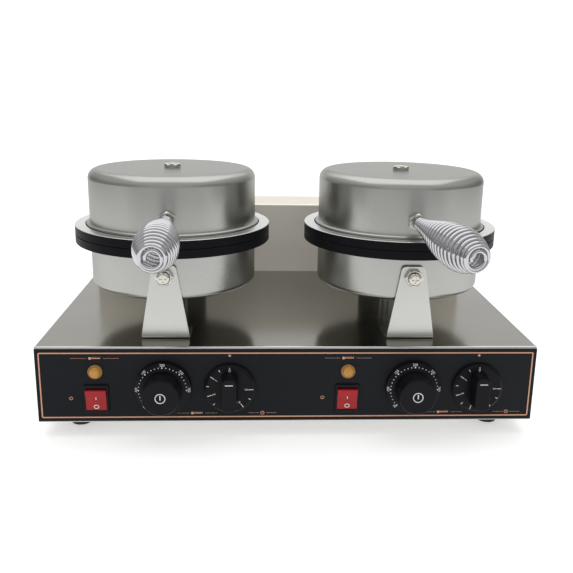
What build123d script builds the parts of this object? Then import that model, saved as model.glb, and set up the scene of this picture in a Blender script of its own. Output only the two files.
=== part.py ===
from build123d import *
import math
import os

# Double-head waffle cone maker. All lengths are in millimetres and +Z is up.
# While the pieces are drawn, X is measured from the middle, Y from the face of the control
# panel towards the back, and Z from the floor. The last step moves the whole machine along Y
# so that its origin is the middle of its bounding box at floor level.

SIDES = {"left": -1, "right": 1}

# Sheet-metal base
FOOT_HEIGHT = 18.0
FOOT_RADIUS = 13.0
FOOT_X = 225.0
FOOT_INSET = 40.0
BASE_WIDTH = 520.0
BASE_DEPTH = 381.0
BASE_HEIGHT = 83.0
SHEET = 1.2
SHEET_GAP = 0.2
FOLD_RADIUS = 2.0
FLANGE_WIDTH = 12.0
PANEL_THICKNESS = 0.8
PANEL_SIDE_MARGIN = 0.5
PANEL_TOP_MARGIN = 2.2
PANEL_BOTTOM_MARGIN = 1.2
BASE_BOTTOM = FOOT_HEIGHT
BASE_TOP = BASE_BOTTOM + BASE_HEIGHT

# Rear box that carries the wiring
BOX_FRONT = 304.0
BOX_HEIGHT = 97.0
BOX_TOP = BASE_TOP + BOX_HEIGHT
GLAND_X = -190.0
GLAND_Z = BASE_TOP + 42.0
GLAND_BORE_RADIUS = 4.2
GLAND_THREAD_RADIUS = 8.0
GLAND_FLATS = 22.0
GLAND_REACH = 22.0
WIRE_HOLE_RADIUS = 15.0
WIRE_HOLE_X = 60.0
LEAD_GROMMET_Z = BASE_TOP + 62.0
VENT_SLOT_WIDTH = 4.0

# Baking heads
HEAD_X = 129.6
HEAD_Y = 121.0
PAN_RADIUS = 92.5
PAN_BOTTOM = BASE_TOP + 40.4
PAN_CORNER = 6.0
COVER_RADIUS = 92.8
COVER_TOP = BASE_TOP + 169.4
COVER_CORNER = 10.5
COVER_FLANGE_RADIUS = 96.5
DRAWN_SHEET = 1.0
PLATE_RADIUS = 109.0
PLATE_BOTTOM = BASE_TOP + 89.0
PLATE_TOP = BASE_TOP + 108.4
PARTING_HEIGHT = (PLATE_BOTTOM + PLATE_TOP) / 2
PARTING_GAP = 0.3
PLATE_EDGE = 0.8
BAKING_RADIUS = 99.0
BAKING_RECESS = 1.1
HUB_RADIUS = 14.0
HUB_HEIGHT = 6.8
STUD_HOLE_DEPTH = 5.4
STUD_END_GAP = 0.2
ELEMENT_RADIUS = 62.0
ELEMENT_WIRE_RADIUS = 4.1
TERMINAL_X = 9.0
TERMINAL_RADIUS = 2.5
TERMINAL_END_GAP = 8.0
INSULATION_RADIUS = 76.0
INSULATION_FLOOR_GAP = 14.0
INSULATION_PLATE_GAP = 10.0
BULB_RADIUS = 3.0
BULB_LENGTH = 60.0
LEAD_TUBE_Y = 45.0
LEAD_TUBE_RADIUS = 9.0
LEAD_BORE_RADIUS = 7.0
GROMMET_Z = BASE_TOP + 134.0
GROMMET_HOLE_RADIUS = 7.0
GROMMET_RADIUS = 10.0

# Hinge behind each head
HINGE_Y = 242.0
KNUCKLE_RADIUS = 8.0
PIN_RADIUS = 4.0
RUNNING_GAP = 0.05
CENTRE_KNUCKLE = 21.0
SIDE_KNUCKLE = 12.0
KNUCKLE_GAP = 0.5

# Brackets that hold the lower pans
BRACKET_THICKNESS = 2.0
BRACKET_GAP = 2.4
BRACKET_FOOT = 34.0
BRACKET_CORNER = 5.0
FRONT_BRACKET_BOTTOM = 50.0
FRONT_BRACKET_TOP = 24.3
REAR_BRACKET_WIDTH = 57.0
BRACKET_HEIGHT = 79.5
BRACKET_FOOT_SCREW_X = 14.0
BRACKET_FOOT_SCREW_Y = BRACKET_FOOT / 2 + 4.0
BRACKET_SCREW_Z = BASE_TOP + 68.0

# Threaded pieces
STUD_RADIUS = 5.0
STUD_CLEARANCE = 0.3
NUT_FLATS = 16.5
NUT_HEIGHT = 6.5
WASHER_RADIUS = 10.5
WASHER_THICKNESS = 1.2
LID_NUT_FLATS = 16.0
LID_NUT_HEIGHT = 3.2
LID_WASHER_RADIUS = 8.6
LID_WASHER_THICKNESS = 0.6
BRACKET_NUT_HEIGHT = 5.5
BRACKET_WASHER_RADIUS = 9.0
PAN_SCREW_RADIUS = 3.95
PAN_SCREW_HOLE_RADIUS = 4.2
PAN_HEAD_RADIUS = 7.3
PAN_HEAD_HEIGHT = 4.5
SMALL_SCREW_RADIUS = 1.95
SMALL_SCREW_LENGTH = 7.0
SMALL_SCREW_HOLE_RADIUS = 2.25
SMALL_HEAD_RADIUS = 3.8
SMALL_HEAD_HEIGHT = 2.4
M5_RADIUS = 2.5
M5_BORE_RADIUS = 2.55
M5_HOLE_RADIUS = 2.7
M5_HEAD_RADIUS = 4.6
M5_NUT_FLATS = 8.0
M5_NUT_HEIGHT = 4.0
CROSS_DEPTH = 1.3

# Sprung coil handles: height and bearing of each, then the shape of the coil
HANDLE_Z = BASE_TOP + 127.0
HANDLE_DROOP = 5.4
HANDLE_SEAT_ANGLE = {"left": 2.7, "right": 0.3}
HANDLE_BEARING = {"left": 0.4, "right": 14.9}
HANDLE_NUT_HEIGHT = 8.0
HANDLE_PIN_RADIUS = 3.0
HANDLE_PIN_LENGTH = 24.0
COIL_LENGTH = 112.5
COIL_WIRE = 3.8
COIL_START_RADIUS = 7.2
COIL_LARGEST_RADIUS = 21.0
COIL_END_RADIUS = 12.8
COIL_LARGEST_AT = 0.74
COIL_CLOSE_PITCH = 4.0
COIL_OPEN_PITCH = 6.8
COIL_START_GAP = 2.2

# Controls, placed on the panel by X and Z for the left head; the right set is one pitch away
CONTROL_PITCH = 260.0
LAMP_AT = (-198.9, BASE_BOTTOM + 56.6)
SWITCH_AT = (-198.9, BASE_BOTTOM + 26.6)
DIAL_AT = (-130.0, BASE_BOTTOM + 38.8)
TIMER_AT = (-61.6, BASE_BOTTOM + 38.4)
LAMP_HOLE_RADIUS = 5.3
LAMP_BEZEL_RADIUS = 7.5
LAMP_LENS_RADIUS = 6.0
SHAFT_RADIUS = 3.0
BUSH_RADIUS = 5.0
BUSH_HOLE_RADIUS = 5.3
KNOB_CLEARANCE = 1.5
DIAL_RADIUS = 28.75
DIAL_GRIP_RADIUS = 20.0
DIAL_SKIRT_THICKNESS = 4.4
DIAL_CONE_RISE = 3.4
DIAL_REACH = 28.0
TIMER_RADIUS = 26.75
TIMER_SKIRT_THICKNESS = 2.4
TIMER_GRIP_LENGTH = 38.0
TIMER_GRIP_WIDTH = 18.0
TIMER_GRIP_CORNER = 6.0
TIMER_REACH = 23.0
SHAFT_END_GAP = 6.0
SWITCH_BEZEL = (25.5, 31.0, 2.5)
SWITCH_BODY = (24.0, 27.6, 24.0)
SWITCH_WINDOW = (21.5, 25.0, 12.5)
ROCKER_WIDTH = 20.9
ROCKER_HALF_HEIGHT = 11.6
ROCKER_TILT = 8.0
ROCKER_PIVOT_DEPTH = 1.0
ROCKER_PIN_RADIUS = 1.8
CONTROL_BODY_FACE = -(PANEL_THICKNESS + SHEET + SHEET_GAP)
THERMOSTAT_BODY = (40.0, 34.0, 34.0)
TIMER_BODY_RADIUS = 25.0
TIMER_BODY_DEPTH = 38.0

ON_FLOOR = (Align.CENTER, Align.CENTER, Align.MIN)
FACING_FRONT = Rot(90, 0, 0)
FACING_BACK = Rot(-90, 0, 0)
ALONG_X = Rot(0, 90, 0)


def block(low, high):
    size = [top - bottom for bottom, top in zip(low, high)]
    return Pos(*low) * Box(*size, align=(Align.MIN, Align.MIN, Align.MIN))


def post(radius, bottom, top):
    """A cylinder round the Z axis from one height to another."""
    return Pos(0, 0, bottom) * Cylinder(radius, top - bottom, align=ON_FLOOR)


def ring(outer, inner, bottom, top):
    return post(outer, bottom, top) - post(inner, bottom - 1, top + 1)


def cone(radius_bottom, radius_top, bottom, top):
    return Pos(0, 0, bottom) * Cone(radius_bottom, radius_top, top - bottom, align=ON_FLOOR)


def hexagon(flats, bottom, top):
    return Pos(0, 0, bottom) * extrude(RegularPolygon(flats / 2, 6, major_radius=False), top - bottom)


def hex_nut(flats, bottom, height, bore):
    nut = hexagon(flats, bottom, bottom + height)
    chamfer = cone(flats / 2 + height, flats / 2, bottom, bottom + height)
    return (nut & chamfer) - post(bore, bottom - 1, bottom + height + 1)


def head(side):
    return Pos(SIDES[side] * HEAD_X, HEAD_Y, 0)


def on_panel(place, side):
    """Where a control sits: its own X is right, Y is up and Z points out of the panel."""
    shift = CONTROL_PITCH if side == "right" else 0
    return Pos(place[0] + shift, 0, place[1]) * FACING_FRONT


def bearing(angle, droop=0.0):
    """A direction that starts towards the front, turned to the right and tipped down."""
    turned = math.radians(angle)
    tipped = math.radians(droop)
    level = math.cos(tipped)
    return Vector(math.sin(turned) * level, -math.cos(turned) * level, -math.sin(tipped))


# ---------------------------------------------------------------- base

def rounded_block(low, high, radius, faces_rounded):
    shape = block(low, high)
    upright = shape.edges().filter_by(Axis.Z)
    top = shape.edges().group_by(Axis.Z)[-1]
    chosen = upright + top if faces_rounded == "all" else top
    return fillet(chosen, radius)


def bracket_base_holes():
    """Side, X and Y of each screw in the brackets' feet, measured from the head's axis."""
    x = BRACKET_FOOT_SCREW_X
    y = bracket_reach() - BRACKET_FOOT_SCREW_Y
    return [(side, a, b) for side in SIDES for a in (-x, x) for b in (-y, y)]


def cover_screw_places():
    front = PANEL_THICKNESS + SHEET + FLANGE_WIDTH / 2
    back = BASE_DEPTH - SHEET - FLANGE_WIDTH / 2
    return [(x, y) for x in (-170.0, 0.0, 170.0) for y in (front, back)]


def base_casing():
    half = BASE_WIDTH / 2
    outside_low = (-half, PANEL_THICKNESS, BASE_BOTTOM)
    outside_high = (half, BASE_DEPTH, BASE_TOP)
    shell = rounded_block(outside_low, outside_high, FOLD_RADIUS, "all")
    inside_low = (-half + SHEET, PANEL_THICKNESS + SHEET, BASE_BOTTOM - 1)
    inside_high = (half - SHEET, BASE_DEPTH - SHEET, BASE_TOP - SHEET)
    shell -= rounded_block(inside_low, inside_high, FOLD_RADIUS - SHEET, "all")
    flange_bottom = BASE_BOTTOM + SHEET + SHEET_GAP
    flange = block((-half + SHEET, PANEL_THICKNESS + SHEET, flange_bottom),
                   (half - SHEET, BASE_DEPTH - SHEET, flange_bottom + SHEET))
    inner = SHEET + FLANGE_WIDTH
    flange -= block((-half + inner, PANEL_THICKNESS + inner, flange_bottom - 1),
                    (half - inner, BASE_DEPTH - inner, flange_bottom + SHEET + 1))
    shell += flange
    for x, y in cover_screw_places():
        shell -= Pos(x, y, 0) * post(SMALL_SCREW_RADIUS + RUNNING_GAP, BASE_BOTTOM, BASE_BOTTOM + 10)
    for side, x, y in bracket_base_holes():
        shell -= head(side) * Pos(x, y, 0) * post(M5_HOLE_RADIUS, BASE_TOP - 3, BASE_TOP + 1)
    under_box = Pos(WIRE_HOLE_X, (BOX_FRONT + BASE_DEPTH) / 2, 0)
    wire_hole = under_box * post(WIRE_HOLE_RADIUS, BASE_TOP - 3, BASE_TOP + 1)
    for side in SIDES:
        shell -= head(side) * Pos(0, LEAD_TUBE_Y, 0) * post(LEAD_BORE_RADIUS, BASE_TOP - 3, BASE_TOP + 1)
        shell -= control_holes(side)
    return shell - wire_hole - mirror(wire_hole, Plane.YZ)


def control_holes(side):
    """What is cut through the front for one set of controls."""
    reach = (-3, 1)
    width = SWITCH_BODY[0] + 0.3
    height = SWITCH_BODY[1] + 0.3
    window = block((-width / 2, -height / 2, reach[0]), (width / 2, height / 2, reach[1]))
    return (on_panel(SWITCH_AT, side) * window
            + on_panel(LAMP_AT, side) * post(LAMP_HOLE_RADIUS, *reach)
            + on_panel(DIAL_AT, side) * post(BUSH_HOLE_RADIUS, *reach)
            + on_panel(TIMER_AT, side) * post(BUSH_HOLE_RADIUS, *reach))


def control_panel():
    half = BASE_WIDTH / 2 - PANEL_SIDE_MARGIN
    plate = block((-half, 0, BASE_BOTTOM + PANEL_BOTTOM_MARGIN),
                  (half, PANEL_THICKNESS, BASE_TOP - PANEL_TOP_MARGIN))
    for side in SIDES:
        plate -= control_holes(side)
    return plate


def foot_places():
    return [(x, y) for x in (-FOOT_X, FOOT_X) for y in (FOOT_INSET, BASE_DEPTH - FOOT_INSET)]


def bottom_cover():
    half = BASE_WIDTH / 2 - SHEET - SHEET_GAP
    front = PANEL_THICKNESS + SHEET + SHEET_GAP
    back = BASE_DEPTH - SHEET - SHEET_GAP
    plate = block((-half, front, BASE_BOTTOM), (half, back, BASE_BOTTOM + SHEET))
    plate = fillet(plate.edges().filter_by(Axis.Z), FOLD_RADIUS)
    for x, y in cover_screw_places():
        plate -= Pos(x, y, 0) * post(SMALL_SCREW_HOLE_RADIUS, BASE_BOTTOM - 1, BASE_BOTTOM + 2)
    for x, y in foot_places():
        plate -= Pos(x, y, 0) * post(M5_HOLE_RADIUS, BASE_BOTTOM - 1, BASE_BOTTOM + 2)
    slot = Pos(0, 0, BASE_BOTTOM - 1) * extrude(SlotOverall(46, VENT_SLOT_WIDTH), 3)
    for x in (-110, 110):
        for row in range(8):
            plate -= Pos(x, 120 + row * 20, 0) * slot
    return plate


def rubber_foot():
    foot = cone(FOOT_RADIUS - 2, FOOT_RADIUS, 0, FOOT_HEIGHT)
    foot = fillet(foot.edges().group_by(Axis.Z)[0], 1.2)
    foot -= post(M5_HEAD_RADIUS + 1.4, -1, FOOT_HEIGHT / 2)
    return foot - post(M5_HOLE_RADIUS - 0.1, 0, FOOT_HEIGHT + 1)


def rubber_feet():
    return [Pos(x, y, 0) * rubber_foot() for x, y in foot_places()]


def foot_screws():
    top = BASE_BOTTOM + SHEET
    seat_z = FOOT_HEIGHT / 2
    screw = post(M5_HEAD_RADIUS, seat_z - 3.4, seat_z) + post(M5_RADIUS, seat_z, top + 6)
    nut = hex_nut(M5_NUT_FLATS, top, M5_NUT_HEIGHT, M5_BORE_RADIUS)
    return [Pos(x, y, 0) * piece for x, y in foot_places() for piece in (screw, nut)]


def pan_head(radius, bottom, height, edge, cross_span, cross_width):
    """A round screw head with a cross recess in its top."""
    top = bottom + height
    screw_head = fillet(post(radius, bottom, top).edges().group_by(Axis.Z)[-1], edge)
    bar = block((-cross_span / 2, -cross_width / 2, top - CROSS_DEPTH),
                (cross_span / 2, cross_width / 2, top + 1))
    return screw_head - bar - Rot(0, 0, 90) * bar


def small_screw():
    """A pan-head screw that stands on its tip, its head above Z = 0."""
    screw_head = pan_head(SMALL_HEAD_RADIUS, 0, SMALL_HEAD_HEIGHT, 1.2, 4.2, 0.9)
    return screw_head + post(SMALL_SCREW_RADIUS, -SMALL_SCREW_LENGTH, 0)


def rear_panel_screw_places():
    z_low = BASE_TOP + SHEET_GAP + FLANGE_WIDTH / 2 + SHEET
    z_high = BOX_TOP - SHEET - FLANGE_WIDTH / 2
    edge = BASE_WIDTH / 2 - SHEET - FLANGE_WIDTH / 2
    corners = [(x, z) for x in (-edge, edge) for z in (z_low, z_high)]
    return corners + [(-edge / 3, z_high), (edge / 3, z_high)]


def casing_screws():
    upside_down = Rot(180, 0, 0) * small_screw()
    from_below = [Pos(x, y, BASE_BOTTOM) * upside_down for x, y in cover_screw_places()]
    backwards = FACING_BACK * small_screw()
    return from_below + [Pos(x, BASE_DEPTH, z) * backwards for x, z in rear_panel_screw_places()]


def rear_box():
    half = BASE_WIDTH / 2
    inner = half - SHEET
    shell = rounded_block((-half, BOX_FRONT, BASE_TOP), (half, BASE_DEPTH, BOX_TOP), FOLD_RADIUS, "top")
    shell -= block((-inner, BOX_FRONT + SHEET, BASE_TOP - 1), (inner, BASE_DEPTH + 5, BOX_TOP - SHEET))
    flange_back = BASE_DEPTH - SHEET - SHEET_GAP
    flange_front = flange_back - SHEET
    opening = inner - FLANGE_WIDTH
    flange = block((-inner, flange_front, BASE_TOP), (inner, flange_back, BOX_TOP - SHEET))
    flange -= block((-opening, flange_front - 1, BASE_TOP - 1),
                    (opening, flange_back + 1, BOX_TOP - SHEET - FLANGE_WIDTH))
    shell += flange
    for x, z in rear_panel_screw_places():
        shell -= Pos(x, flange_back + 1, z) * FACING_FRONT * post(SMALL_SCREW_RADIUS + RUNNING_GAP, 0, 4)
    for side in SIDES:
        shell -= lead_grommet_place(side) * post(GROMMET_HOLE_RADIUS, -3, 2)
    return shell


def lead_grommet_place(side):
    """On the front of the rear box, Z pointing forwards."""
    return Pos(SIDES[side] * HEAD_X, BOX_FRONT, LEAD_GROMMET_Z) * FACING_FRONT


def rear_panel():
    half = BASE_WIDTH / 2 - SHEET - SHEET_GAP
    plate = block((-half, BASE_DEPTH - SHEET, BASE_TOP + SHEET_GAP),
                  (half, BASE_DEPTH, BOX_TOP - SHEET - SHEET_GAP))
    for x, z in rear_panel_screw_places():
        plate -= Pos(x, BASE_DEPTH, z) * FACING_BACK * post(SMALL_SCREW_HOLE_RADIUS, -2, 1)
    plate -= Pos(GLAND_X, BASE_DEPTH, GLAND_Z) * FACING_BACK * post(GLAND_THREAD_RADIUS + 0.3, -2, 1)
    slot = Pos(0, BASE_DEPTH + 1, 0) * FACING_FRONT * extrude(SlotOverall(52, VENT_SLOT_WIDTH), 4)
    for column in (-0.5, 0.5, 1.5, 2.5):
        for row in range(5):
            plate -= Pos(column * 66 + 10, 0, BASE_TOP + 28 + row * 10) * slot
    return plate


def mains_gland():
    """A plastic gland for the mains lead, with its lock nut inside the box; Z points backwards."""
    body = post(GLAND_THREAD_RADIUS, -11, 0) + hexagon(GLAND_FLATS, 0, 5)
    body += hexagon(GLAND_FLATS, -SHEET - 4.2, -SHEET - 0.1)
    body += fillet(post(9.8, 5, GLAND_REACH).edges().group_by(Axis.Z)[-1], 3.5)
    body -= post(GLAND_BORE_RADIUS, -12, GLAND_REACH + 1)
    return Pos(GLAND_X, BASE_DEPTH, GLAND_Z) * FACING_BACK * body


def terminal_block():
    body = block((-30, 0, 0), (30, 20, 14))
    for pole in range(4):
        body -= Pos(-21 + 14 * pole, 10, 0) * post(3.2, 6, 15)
    return Pos(GLAND_X, BOX_FRONT + 30, BASE_TOP) * body


# ---------------------------------------------------------------- brackets

def bent_plate(width):
    """An upright plate whose foot bends back, its front face at Y = 0, standing on Z = 0."""
    thick = BRACKET_THICKNESS
    profile = Polyline((0, 0), (BRACKET_FOOT, 0), (BRACKET_FOOT, thick), (thick, thick),
                       (thick, BRACKET_HEIGHT), (0, BRACKET_HEIGHT), close=True)
    section = make_face(Plane.YZ * profile)
    plate = Pos(-width / 2, 0, 0) * extrude(section, width, dir=(1, 0, 0))
    plate = fillet(crosswise_edge(plate, 0), 2 * thick)
    return fillet(crosswise_edge(plate, thick), thick)


def crosswise_edge(plate, place):
    """The edge along X whose Y and Z both equal the given place."""
    return plate.edges().filter_by(Axis.X).filter_by(
        lambda e: abs(e.center().Y - place) < 0.1 and abs(e.center().Z - place) < 0.1)


def bracket(bottom_width, top_width):
    """A bent plate trimmed to a taper with round top corners, and drilled."""
    bend = 2 * BRACKET_THICKNESS
    outline = Polyline((-bottom_width / 2, 0), (bottom_width / 2, 0), (bottom_width / 2, bend),
                       (top_width / 2, BRACKET_HEIGHT), (-top_width / 2, BRACKET_HEIGHT),
                       (-bottom_width / 2, bend), close=True)
    trim = extrude(make_face(Plane.XZ * outline), BRACKET_FOOT + 5, both=True)
    trim = fillet(trim.edges().filter_by(Axis.Y).group_by(Axis.Z)[-1], BRACKET_CORNER)
    plate = bent_plate(bottom_width) & trim
    plate -= Pos(0, 0, BRACKET_SCREW_Z - BASE_TOP) * FACING_FRONT * post(PAN_SCREW_HOLE_RADIUS, -10, 10)
    for x in (-BRACKET_FOOT_SCREW_X, BRACKET_FOOT_SCREW_X):
        plate -= Pos(x, BRACKET_FOOT_SCREW_Y, 0) * post(M5_HOLE_RADIUS, -1, 5)
    return plate


def bracket_reach():
    """How far in front of the head's axis the front bracket's outer face stands."""
    return PAN_RADIUS + BRACKET_GAP + BRACKET_THICKNESS


def front_brackets():
    shape = bracket(FRONT_BRACKET_BOTTOM, FRONT_BRACKET_TOP)
    return [head(side) * Pos(0, -bracket_reach(), BASE_TOP) * shape for side in SIDES]


def rear_brackets():
    shape = bracket(REAR_BRACKET_WIDTH, REAR_BRACKET_WIDTH)
    return [head(side) * Rot(0, 0, 180) * Pos(0, -bracket_reach(), BASE_TOP) * shape for side in SIDES]


def bracket_ends():
    """Both ends of each head, with Z pointing outwards and zero at the bracket's outer face."""
    places = []
    for side in SIDES:
        for turn in (0, 180):
            place = head(side) * Rot(0, 0, turn) * Pos(0, -bracket_reach(), BRACKET_SCREW_Z)
            places.append(place * FACING_FRONT)
    return places


def inner_nut_bottom():
    """Where the nut inside the pan ends, clear of the curve of the pan's wall."""
    return -(BRACKET_THICKNESS + BRACKET_GAP + DRAWN_SHEET + 0.7) - BRACKET_NUT_HEIGHT


def bracket_screws():
    screw = pan_head(PAN_HEAD_RADIUS, BRACKET_NUT_HEIGHT, PAN_HEAD_HEIGHT, 3.2, 8.0, 1.8)
    screw += post(PAN_SCREW_RADIUS, inner_nut_bottom() - 1.5, BRACKET_NUT_HEIGHT)
    return [place * screw for place in bracket_ends()]


def bracket_nuts():
    bore = PAN_SCREW_RADIUS + RUNNING_GAP
    outer = hex_nut(NUT_FLATS, 0, BRACKET_NUT_HEIGHT, bore)
    inner = hex_nut(NUT_FLATS, inner_nut_bottom(), BRACKET_NUT_HEIGHT, bore)
    washer = ring(BRACKET_WASHER_RADIUS, PAN_SCREW_HOLE_RADIUS,
                  -BRACKET_THICKNESS - BRACKET_GAP, -BRACKET_THICKNESS)
    return [place * piece for place in bracket_ends() for piece in (outer, washer, inner)]


def bracket_base_screws():
    top = BASE_TOP + BRACKET_THICKNESS
    under = BASE_TOP - SHEET
    screw = pan_head(M5_HEAD_RADIUS, top, 3.0, 1.5, 5.0, 1.1) + post(M5_RADIUS, under - 6, top)
    nut = hex_nut(M5_NUT_FLATS, under - M5_NUT_HEIGHT, M5_NUT_HEIGHT, M5_BORE_RADIUS)
    places = [head(side) * Pos(x, y, 0) for side, x, y in bracket_base_holes()]
    return [place * piece for place in places for piece in (screw, nut)]


# ---------------------------------------------------------------- lower half of a head

def lower_pan():
    """A deep-drawn pan, open at the top, that holds the lower element."""
    outside = fillet(post(PAN_RADIUS, PAN_BOTTOM, PLATE_BOTTOM).edges().group_by(Axis.Z)[0], PAN_CORNER)
    cavity = post(PAN_RADIUS - DRAWN_SHEET, PAN_BOTTOM + DRAWN_SHEET, PLATE_BOTTOM + 5)
    pan = outside - fillet(cavity.edges().group_by(Axis.Z)[0], PAN_CORNER - DRAWN_SHEET)
    pan -= post(STUD_RADIUS + STUD_CLEARANCE, PAN_BOTTOM - 1, PAN_BOTTOM + 2)
    pan -= Pos(0, LEAD_TUBE_Y, 0) * post(LEAD_BORE_RADIUS, PAN_BOTTOM - 1, PAN_BOTTOM + 2)
    crosswise = FACING_FRONT * post(PAN_SCREW_HOLE_RADIUS, -PAN_RADIUS - 2, PAN_RADIUS + 2)
    return pan - Pos(0, 0, BRACKET_SCREW_Z) * crosswise


def knuckle(x, width):
    y = HINGE_Y - HEAD_Y
    return Pos(x - width / 2, y, PARTING_HEIGHT) * ALONG_X * post(KNUCKLE_RADIUS, 0, width)


def knuckle_bore():
    y = HINGE_Y - HEAD_Y
    return Pos(-40, y, PARTING_HEIGHT) * ALONG_X * post(PIN_RADIUS + RUNNING_GAP, 0, 80)


def lug(x, width, bottom, top):
    """One hinge lug: an arm from the plate's rim and the knuckle at its end."""
    arm = block((x - width / 2, PLATE_RADIUS - 12, bottom), (x + width / 2, HINGE_Y - HEAD_Y, top))
    return arm + knuckle(x, width)


def lower_plate():
    """The lower cast plate: a recessed baking face, a hub below and two hinge lugs behind."""
    top = PARTING_HEIGHT - PARTING_GAP / 2
    disc = post(PLATE_RADIUS, PLATE_BOTTOM, top)
    disc = fillet(disc.edges().group_by(Axis.Z)[-1] + disc.edges().group_by(Axis.Z)[0], PLATE_EDGE)
    disc -= post(BAKING_RADIUS, top - BAKING_RECESS, top + 1)
    disc += post(HUB_RADIUS, PLATE_BOTTOM - HUB_HEIGHT, PLATE_BOTTOM)
    offset = CENTRE_KNUCKLE / 2 + KNUCKLE_GAP + SIDE_KNUCKLE / 2
    for x in (-offset, offset):
        disc += lug(x, SIDE_KNUCKLE, PLATE_BOTTOM, top - 1.2)
    disc -= post(STUD_RADIUS + RUNNING_GAP, PLATE_BOTTOM - HUB_HEIGHT - 1, PLATE_BOTTOM + STUD_HOLE_DEPTH)
    return disc - knuckle_bore()


def terminal_y():
    return -math.sqrt(ELEMENT_RADIUS ** 2 - TERMINAL_X ** 2)


def element(height, terminal_end):
    """A ring heating element, open at the front, whose two ends turn away from the plate."""
    half_gap = math.degrees(math.asin(TERMINAL_X / ELEMENT_RADIUS))
    section = Plane.XZ * Pos(ELEMENT_RADIUS, 0) * Circle(ELEMENT_WIRE_RADIUS)
    coil = Pos(0, 0, height) * Rot(0, 0, half_gap - 90) * revolve(section, Axis.Z, 360 - 2 * half_gap)
    low, high = sorted((height, terminal_end))
    for x in (-TERMINAL_X, TERMINAL_X):
        coil += Pos(x, terminal_y(), height) * Sphere(ELEMENT_WIRE_RADIUS)
        coil += Pos(x, terminal_y(), 0) * post(TERMINAL_RADIUS, low, high)
    return coil


def insulation(bottom, top):
    """A disc of ceramic fibre with holes for the stud and the element's terminals."""
    pad = ring(INSULATION_RADIUS, STUD_RADIUS + 1.5, bottom, top)
    for x in (-TERMINAL_X, TERMINAL_X):
        pad -= Pos(x, terminal_y(), 0) * post(TERMINAL_RADIUS + 1.5, bottom - 1, top + 1)
    return pad


def lower_elements():
    shape = element(PLATE_BOTTOM - ELEMENT_WIRE_RADIUS - 0.2, PAN_BOTTOM + TERMINAL_END_GAP)
    return [head(side) * shape for side in SIDES]


def lower_insulation():
    shape = insulation(PAN_BOTTOM + INSULATION_FLOOR_GAP, PLATE_BOTTOM - INSULATION_PLATE_GAP)
    return [head(side) * shape for side in SIDES]


def sensor_bulbs():
    bulb = ALONG_X * post(BULB_RADIUS, -BULB_LENGTH / 2, BULB_LENGTH / 2)
    under_plate = Pos(0, 32, PLATE_BOTTOM - BULB_RADIUS - 0.1)
    return [head(side) * under_plate * bulb for side in SIDES]


def lower_studs():
    low = PAN_BOTTOM - WASHER_THICKNESS - NUT_HEIGHT - 1
    stud = post(STUD_RADIUS, low, PLATE_BOTTOM + STUD_HOLE_DEPTH - STUD_END_GAP)
    return [head(side) * stud for side in SIDES]


def lower_stud_nuts():
    washer = ring(WASHER_RADIUS, STUD_RADIUS + STUD_CLEARANCE, PAN_BOTTOM - WASHER_THICKNESS, PAN_BOTTOM)
    nut = hex_nut(NUT_FLATS, 0, NUT_HEIGHT, STUD_RADIUS + RUNNING_GAP)
    hanging = Pos(0, 0, PAN_BOTTOM - WASHER_THICKNESS) * Rot(180, 0, 0) * nut
    return [head(side) * piece for side in SIDES for piece in (washer, hanging)]


def lead_tubes():
    tube = ring(LEAD_TUBE_RADIUS, LEAD_BORE_RADIUS, BASE_TOP, PAN_BOTTOM)
    return [head(side) * Pos(0, LEAD_TUBE_Y, 0) * tube for side in SIDES]


def hinge_pins():
    span = CENTRE_KNUCKLE / 2 + KNUCKLE_GAP + SIDE_KNUCKLE
    pin = post(PIN_RADIUS, -span - 0.2, span + 3)
    pin += fillet(post(6.5, -span - 3, -span - 0.2).edges().group_by(Axis.Z)[0], 1)
    pin += post(6.0, span + 0.3, span + 1.5)
    return [head(side) * Pos(0, HINGE_Y - HEAD_Y, PARTING_HEIGHT) * ALONG_X * pin for side in SIDES]


# ---------------------------------------------------------------- lid of a head

def upper_plate():
    """The upper cast plate, its turned rim outside the cover and one hinge lug behind."""
    bottom = PARTING_HEIGHT + PARTING_GAP / 2
    disc = post(PLATE_RADIUS, bottom, PLATE_TOP)
    disc = fillet(disc.edges().group_by(Axis.Z)[-1] + disc.edges().group_by(Axis.Z)[0], PLATE_EDGE)
    disc -= post(BAKING_RADIUS, bottom - 1, bottom + BAKING_RECESS)
    disc -= ring(COVER_FLANGE_RADIUS + 1.0, COVER_FLANGE_RADIUS + 0.1, PLATE_TOP - 1.5, PLATE_TOP + 1)
    disc += post(HUB_RADIUS, PLATE_TOP, PLATE_TOP + HUB_HEIGHT)
    disc += lug(0, CENTRE_KNUCKLE, bottom + 1.2, PLATE_TOP - 0.8)
    disc -= post(STUD_RADIUS + RUNNING_GAP, PLATE_TOP - STUD_HOLE_DEPTH, PLATE_TOP + HUB_HEIGHT + 1)
    return disc - knuckle_bore()


def seat(side):
    """The handle's place on the cover wall: Z points straight out of the wall from the head's axis."""
    origin = Vector(0, 0, HANDLE_Z)
    return Plane(origin=origin, x_dir=(0, 0, 1), z_dir=bearing(HANDLE_SEAT_ANGLE[side])).location


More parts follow.
